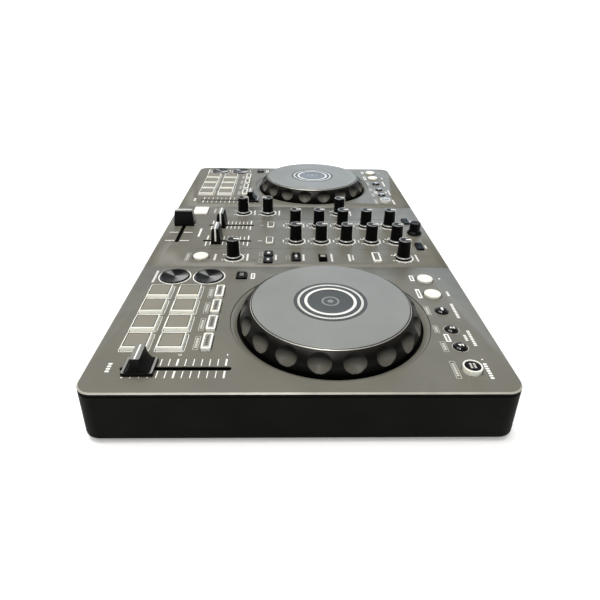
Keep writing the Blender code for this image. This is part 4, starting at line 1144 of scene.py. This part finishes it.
def build_knob(node):
    """A rotary knob with a skirt, a dished top and a white pointer down one side."""
    radius = KNOB_PROFILE[0][0]
    profile = [(radius - r, PANEL_TOP + z, rounding, look) for r, z, rounding, look in KNOB_PROFILE]
    place = middle(node)
    knob = sweep(node + "_body", round_shape(radius, 56), profile, place, steps=5)
    ride(knob, node, node, slot="knob")
    bm = bmesh.new()
    line = [(0.0068, 0.002), (0.006, 0.0036), (0.00565, 0.0176), (0.0054, 0.0184), (0.0048, 0.0187),
            (0.0045, 0.0187), (0.0041, 0.0185), (0.0006, 0.01845)]
    points = [(r, PANEL_TOP + z) for r, z in line]
    add_strip(bm, points, 0.0008, 0.00038, 0.0004, 1)
    pointer = finish_mesh(bm, node + "_pointer", ["print"], (place[0], place[1], 0.0), weighted=False)
    if node == "headphone_mix_knob":
        pointer.rotation_euler = (0.0, 0.0, math.pi)
    ride(pointer, node, slot="knob")


def build_browse_knob():
    """The selector knob: a fluted grip on a short skirt."""
    node = "browse_knob"
    low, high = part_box(node)
    radius = (high.x - low.x) / 2
    base, top = low.z, high.z
    grip = radius - 0.0055

    def flutes(x, y, z):
        """Press shallow flutes into the grip."""
        reach = math.hypot(x, y)
        if z < base + 0.0026 or z > top - 0.0004 or reach < 0.004:
            return (x, y, z)
        share = 1.0 - 0.016 * (1 + math.cos(24 * math.atan2(y, x)))
        return (x * share, y * share, z)

    profile = banded(
        ("knob", (0.0, base), (0.0, base + 0.001, 0.0002), (grip - 0.0002, base + 0.0023, 0.0003),
         (grip, base + 0.003), (grip, top - 0.0009), (grip, top, 0.0008), (grip + 0.0014, top, 0.0002)),
        ("knob_top", (grip + 0.0017, top - 0.0002), (radius - 0.0003, top - 0.0003)))
    knob = sweep("browse_grip", round_shape(radius, 144), profile, middle(node), warp=flutes, angle=50.0)
    ride(knob, "browse_knob", node, slot="knob")


def loft(bm, levels, corner, look_of):
    """Stack rectangles of (half_x, half_y, height); look_of(band, y) gives the look of each face."""
    loops = []
    for half_x, half_y, z in levels:
        round_off = min(corner, half_x * 0.5, half_y * 0.5)
        points = outline(box_shape(half_x, half_y, round_off, 4))
        loops.append([bm.verts.new((x, y, z)) for x, y in points])
    for k, (lower, upper) in enumerate(zip(loops, loops[1:])):
        for i, first in enumerate(lower):
            j = (i + 1) % len(lower)
            face = bm.faces.new((first, lower[j], upper[j], upper[i]))
            face.material_index = look_of(k, abs(face.calc_center_median().y))
    bm.faces.new(list(reversed(loops[0])))
    bm.faces.new(loops[-1]).material_index = look_of(len(levels) - 1, 0.0)


def finish_cap(bm, node, stem, looks):
    """Add a cap's stem and turn it into a piece."""
    base = CAP_BASE
    add_prism(bm, outline(box_shape(*stem, 0.0002, 2)), PANEL_TOP - 0.0018, base + 0.0004)
    name = node.replace("_cap", "") + "_handle"
    cap = finish_mesh(bm, name, looks, (*middle(node), 0.0), angle=30.0)
    return ride(cap, node, node, slot="knob")


def build_tempo_cap(side):
    """A wide cap: two ribbed scoops rise from pale lips to a ridge with a white line."""
    node = side + "_tempo_fader_cap"
    half_x, half_y = half_of(node)
    ridge_x, ridge_y = half_x - 0.0007, 0.0032
    base = CAP_BASE
    lip = base + 0.0024
    top = top_of(node)
    levels = [(half_x, half_y, base), (half_x, half_y, lip - 0.0004), (half_x - 0.0003, half_y - 0.0003, lip),
              (half_x - 0.0004, half_y - 0.0018, lip)]
    ribs = 13
    for k in range(ribs + 1):
        angle = k / ribs * math.pi / 2
        height = lip - 0.0002 + (top - 0.0005 - lip) * (1 - math.cos(angle)) ** 0.9
        reach = ridge_y + (half_y - 0.002 - ridge_y) * (1 - math.sin(angle))
        narrowing = (half_x - 0.0004 - ridge_x) * (height - lip) / (top - lip)
        levels.append((half_x - 0.0004 - narrowing, reach, height))
        if 0 < k < ribs:
            levels.append((half_x - 0.0004 - narrowing, reach - 0.00022, height + 0.00004))
    levels += [(ridge_x - 0.0002, ridge_y - 0.0002, top - 0.0001), (ridge_x - 0.0005, ridge_y - 0.0005, top)]
    bm = bmesh.new()
    last = len(levels) - 1

    def look_of(k, y):
        """Pale lips at both ends and a pale top, black between."""
        if k == 2 and y > half_y - 0.002:
            return 3
        return 1 if k >= last - 1 else 0

    loft(bm, levels, 0.0009, look_of)
    mark = outline(box_shape(ridge_x - 0.0004, 0.0005, 0.0001, 2))
    add_prism(bm, mark, top - 0.0003, top + 0.00004, 2)
    return finish_cap(bm, node, (0.0008, 0.0014), ["cap", "cap_top", "print", "cap_lip"])


def build_blade_cap(node, along):
    """A slim blade of a cap with a pale top, and a white line over the top and down both ends."""
    size = half_of(node)
    long_way = 0 if along == "y" else 1
    length, thick = size[long_way], size[1 - long_way]
    base = CAP_BASE
    rise = top_of(node) - base
    shares = [(1.0, 0.96, 0.0), (1.0, 1.0, 0.02), (1.0, 1.0, 0.1), (0.985, 0.97, 0.2), (0.95, 0.91, 0.45),
              (0.9, 0.82, 0.72), (0.865, 0.7, 0.9), (0.845, 0.56, 0.965), (0.82, 0.36, 1.0)]
    levels = []
    for along_share, thick_share, up in shares:
        halves = [0.0, 0.0]
        halves[long_way] = length * along_share
        halves[1 - long_way] = thick * thick_share
        levels.append((*halves, base + rise * up))
    bm = bmesh.new()
    last = len(levels) - 1
    loft(bm, levels, 0.001, lambda k, y: 1 if k >= last - 1 else 0)
    half_line = 0.00075
    over = [(length * 0.82, rise), (length * 0.845, rise * 0.965), (length * 0.865, rise * 0.9),
            (length * 0.9, rise * 0.72), (length * 0.95, rise * 0.45), (length * 0.985, rise * 0.2)]
    path = [(-reach, base + up) for reach, up in reversed(over)] + [(reach, base + up) for reach, up in over]
    add_strip(bm, path, half_line, 0.00012, 0.0004, long_way, 2)
    stem = (0.0008, 0.0014) if along == "y" else (0.0014, 0.0008)
    return finish_cap(bm, node, stem, ["cap", "cap_top", "print"])


def build_knobs_and_faders():
    """All the rotary knobs, the selector and the five fader caps."""
    for node in sorted(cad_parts):
        if node.endswith("_knob") and node != "browse_knob":
            build_knob(node)
    build_browse_knob()
    for side in DECK_X:
        build_tempo_cap(side)
    for number in (1, 2):
        build_blade_cap("channel_%d_fader_cap" % number, "y")
    build_blade_cap("crossfader_cap", "x")


# ---------------------------------------------------------------- printed marks

def print_tempo_scale(side):
    """Thirteen ticks across the tempo slot, thicker in the middle and at the ends."""
    x = middle(side + "_tempo_fader_cap")[0]
    for k in range(-6, 7):
        thick = 0.0006 if k in (-6, 0, 6) else 0.0003
        for sign in (-1, 1):
            white_print.bar((x + sign * 0.006, FRONT + 0.0569 + k * 0.0052), 0.0034, thick)
    white_print.frame((x - 0.0139, FRONT + 0.057), 0.0008, 0.0011, 0.0006, 0.0003)
    white_print.bar((x - 0.0139, FRONT + 0.0881), 0.0009, 0.0003)
    white_print.label(on_deck(side, 0.1404, 0.0148), 0.011, 0.0026)


def print_deck(side):
    """Outlines, rings and labels of one deck."""
    for place in pad_places(side):
        white_print.frame(place, 0.0102, 0.0101, 0.0016, 0.0004)
    for x, y in mode_key_places(side):
        outlined_label((x, y - 0.0072), 0.0158)
    for title in ("cue", "play"):
        white_print.arc(middle(side + "_" + title + "_button"), 0.0128, 0.0009, steps=96)
    x, y = middle(side + "_play_button")
    white_print.label((x, y - 0.0165), 0.02, 0.002)
    x, y = middle(side + "_shift_button")
    filled_label((x, y + 0.0096), 0.01)
    print_tempo_scale(side)
    for title in ("beat_loop", "loop_in", "loop_out"):
        node = side + "_" + title + "_button"
        dark_print.arc(middle(node), key_half(node)[0] + 0.0007, 0.0003)
    for x, y in call_key_places(side):
        grey_print.arc((x, y), SMALL_KEY_RADIUS + 0.0007, 0.0003, steps=48)
    white_print.dot(on_deck(side, 0.0212, 0.2573), 0.0009)
    white_print.dot(on_deck(side, 0.1322, 0.2552), 0.0006)
    for u, v, length, height in ((0.0468, 0.2573, 0.007, 0.002), (0.0724, 0.2552, 0.02, 0.0022),
                                 (0.1082, 0.2562, 0.019, 0.0022), (0.1079, 0.2522, 0.0085, 0.002),
                                 (0.144, 0.2552, 0.016, 0.0024)):
        white_print.label(on_deck(side, u, v), length, height)
    for u, v, length in ((0.0204, 0.2336, 0.01), (0.0465, 0.2336, 0.0145), (0.108, 0.2392, 0.0093)):
        filled_label(on_deck(side, u, v), length)
    for u, v, length in ((0.0721, 0.2342, 0.0125), (0.0973, 0.2342, 0.0092), (0.1182, 0.2342, 0.0117),
                         (0.1426, 0.2343, 0.0174)):
        outlined_label(on_deck(side, u, v), length)


def print_knob_scale(node):
    """An open ring round a knob, with scale dots beside it."""
    x, y = middle(node)
    white_print.arc((x, y), 0.0084, 0.0013, -60, 240, 72)
    for turn in range(-150, 151, 30):
        if turn == 0:
            continue
        angle = math.radians(90 + turn)
        reach, size = (0.0112, 0.0008) if abs(turn) == 150 else (0.011, 0.00045)
        white_print.dot((x + reach * math.cos(angle), y + reach * math.sin(angle)), size)


def print_mixer():
    """Scales, ticks and labels of the mixer."""
    for node in sorted(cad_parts):
        if node.endswith("_knob") and node != "browse_knob":
            print_knob_scale(node)
            x, y = middle(node)
            if node.startswith("channel"):
                white_print.label((x, y - 0.0124), 0.0062, 0.0013)
            else:
                white_print.label((x, y + 0.0128), 0.014, 0.0019)
    for number in (1, 2):
        x = middle("channel_%d_fader_cap" % number)[0]
        for k in range(11):
            ends = k in (0, 10)
            reach = 0.0125 if ends else 0.01
            for sign in (-1, 1):
                middle_x = x + sign * (0.0026 + reach) / 2
                white_print.bar((middle_x, FRONT + 0.0472 + k * 0.00406), (reach - 0.0026) / 2,
                                0.00058 if ends else 0.0004)
    strokes = {
        1: ((0.0, 1.0, True), (0.0, -1.0, True)),
        2: ((0.0, 2.0, False), (1.0, 1.0, True), (0.0, 0.0, False), (-1.0, -1.0, True), (0.0, -2.0, False)),
    }
    for number in (1, 2):
        x = middle("channel_%d_cue_button" % number)[0]
        white_print.digit((x, FRONT + 0.0996), strokes[number])
    y = middle("crossfader_cap")[1]
    for x in (-0.0205, 0.0, 0.0205):
        for sign in (-1, 1):
            white_print.bar((x, y + sign * 0.0072), 0.0006, 0.0046)
    white_print.bar(on_mixer(0.0, 0.0372), 0.0105, 0.001)
    for number in (1, 2):
        x, y = middle("load_%d_button" % number)
        white_print.label((x, y + 0.0062), 0.008, 0.0016)
    x = middle("effect_level_knob")[0]
    grey_print.frame(on_mixer(x, 0.035), 0.0093, 0.0019, 0.0006, 0.0003)
    grey_print.label(on_mixer(x, 0.035), 0.014, 0.0018)
    dark_print.arc(middle("effect_on_off_button"), 0.0076, 0.0005)
    for sign in (-1, 1):
        grey_print.frame(on_mixer(x + sign * BEAT_KEY_X, 0.1022), 0.0036, 0.0015, 0.0004, 0.0003)
    grey_print.frame(on_mixer(x, 0.1272), 0.0036, 0.0015, 0.0004, 0.0003)
    for v, length, height in ((0.0602, 0.013, 0.002), (0.1162, 0.0104, 0.0019), (0.1418, 0.014, 0.002),
                              (0.168, 0.017, 0.0019), (0.1845, 0.015, 0.0022), (0.1878, 0.011, 0.0014)):
        white_print.label(on_mixer(x, v), length, height)
    smart_x, smart_y = middle("smart_fader_button")
    grey_print.label((smart_x, smart_y + 0.016), 0.013, 0.002)
    for x in (-0.0385, 0.0385):
        dark_print.bar(on_mixer(x, 0.142), 0.00012, 0.103)


def build_printing():
    """All the printing on the panel."""
    for side in DECK_X:
        print_deck(side)
    print_mixer()
    for number, marks in enumerate(label_marks, 1):
        marks.put("label_marks_%d" % number, "print_dark")
    for name, marks, look in (("panel_print_white", white_print, "print"),
                              ("panel_print_grey", grey_print, "print_grey"),
                              ("panel_print_dark", dark_print, "print_dark")):
        marks.put(name, look)


# ---------------------------------------------------------------- studio

def glowing_floor_look():
    """A pale floor that glows as painted light, faintly near the object and fully further out, as under a
    wide tent of light.
    """
    material = finish((0.9, 0.9, 0.9), 0.75, 0.03, 0.0, tint=0.01, blotch_size=0.5, specular=0.1)
    material.name = "glowing_floor_look"
    tree = material.node_tree
    shader = tree.nodes["Principled BSDF"]
    place = tree.nodes.new("ShaderNodeTexCoord").outputs["Object"]
    reach = tree.nodes.new("ShaderNodeVectorMath")
    reach.operation = "LENGTH"
    tree.links.new(place, reach.inputs[0])
    shader.inputs["Emission Color"].default_value = (1.0, 1.0, 1.0, 1.0)
    # Painted light: the floor's glow grows with distance from the middle.
    glow = add_ramp(tree, reach.outputs["Value"], 0.3, 1.6, 0.22, 1.0)
    tree.links.new(glow, shader.inputs["Emission Strength"])
    return material


def studio_world():
    """White at the horizon, dimmer overhead, and darkest high up on the right-hand side."""
    world = bpy.data.worlds.new("studio")
    world.use_nodes = True
    tree = world.node_tree
    background = tree.nodes["Background"]
    background.inputs["Color"].default_value = (0.96, 0.98, 1.0, 1.0)
    split = tree.nodes.new("ShaderNodeSeparateXYZ")
    tree.links.new(tree.nodes.new("ShaderNodeTexCoord").outputs["Generated"], split.inputs["Vector"])
    left = add_ramp(tree, split.outputs["Z"], 0.05, 0.58, 1.05, 0.24)
    right = add_ramp(tree, split.outputs["Z"], 0.05, 0.2, 1.05, 0.1)
    share = add_ramp(tree, split.outputs["X"], -0.45, 0.1)
    blend = tree.nodes.new("ShaderNodeMix")
    tree.links.new(share, blend.inputs["Factor"])
    tree.links.new(left, blend.inputs[2])
    tree.links.new(right, blend.inputs[3])
    tree.links.new(blend.outputs[0], background.inputs["Strength"])
    return world


def build_studio():
    """A pale floor, soft light from above, a lamp strip and a cool window behind the object."""
    bm = bmesh.new()
    bmesh.ops.create_grid(bm, x_segments=1, y_segments=1, size=14.0)
    mesh = bpy.data.meshes.new("floor")
    bm.to_mesh(mesh)
    bm.free()
    floor = add_object("floor", mesh)
    mesh.materials.append(glowing_floor_look())
    bpy.context.scene.world = studio_world()
    lights = (
        ("softbox", (-0.1, -0.5, 2.2), (0.0, 0.0, 0.0), (1.3, 1.3), 26.0, (1.0, 0.99, 0.97)),
        ("lamp_strip", (1.0, -0.15, 2.1), (0.0, 0.0, 0.0), (0.24, 2.4), 42.0, (1.0, 0.98, 0.95)),
        ("window", (-3.2, 0.7, 1.1), (-0.16, 0.0, 0.05), (1.8, 0.9), 12.0, (0.62, 0.8, 1.0)),
    )
    for name, place, target, size, power, color in lights:
        data = bpy.data.lights.new(name, "AREA")
        data.shape = "RECTANGLE"
        data.size, data.size_y = size
        data.energy = power
        data.color = color
        light = add_object(name, data)
        light.location = place
        light.rotation_euler = (Vector(target) - Vector(place)).to_track_quat("-Z", "Y").to_euler()


def build_camera():
    """A camera at the right-hand end of the object, looking along it and down."""
    pitch, yaw, roll = math.radians(26.3), math.radians(-1.58), math.radians(0.98)
    forward = Vector((-math.cos(pitch) * math.cos(yaw), -math.cos(pitch) * math.sin(yaw), -math.sin(pitch)))
    right = Vector((-math.sin(yaw), math.cos(yaw), 0.0))
    up = right.cross(forward)
    tilted_right = right * math.cos(roll) + up * math.sin(roll)
    tilted_up = up * math.cos(roll) - right * math.sin(roll)
    data = bpy.data.cameras.new("camera")
    data.sensor_width = 36.0
    data.lens = 29.58
    data.shift_y = -0.066
    data.clip_start, data.clip_end = 0.01, 60.0
    camera = add_object("camera", data)
    turn = Matrix((tilted_right, tilted_up, -forward)).transposed().to_4x4()
    camera.matrix_world = Matrix.Translation((0.4679, -0.0089, 0.2399)) @ turn
    bpy.context.scene.camera = camera
    bpy.context.scene.view_settings.view_transform = "Standard"


def dress_cad_nodes():
    """Better materials for the CAD nodes that stay: the circuit boards and the selector's shaft."""
    for node, look in (("main_board", "board"), ("socket_board", "board"), ("browse_shaft", "steel")):
        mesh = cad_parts[node].data
        mesh.materials.clear()
        mesh.materials.append(LOOK[look])


def main():
    """Build every piece, the printing and the studio."""
    build_camera()
    build_panel()
    build_case()
    build_sockets()
    build_underside()
    for side in DECK_X:
        build_wheel(side)
        build_plate(side)
        build_pads(side)
        build_transport(side, "cue")
        build_transport(side, "play")
        build_small_round_keys(side)
    build_mixer_keys()
    build_knobs_and_faders()
    build_printing()
    dress_cad_nodes()
    build_studio()


main()
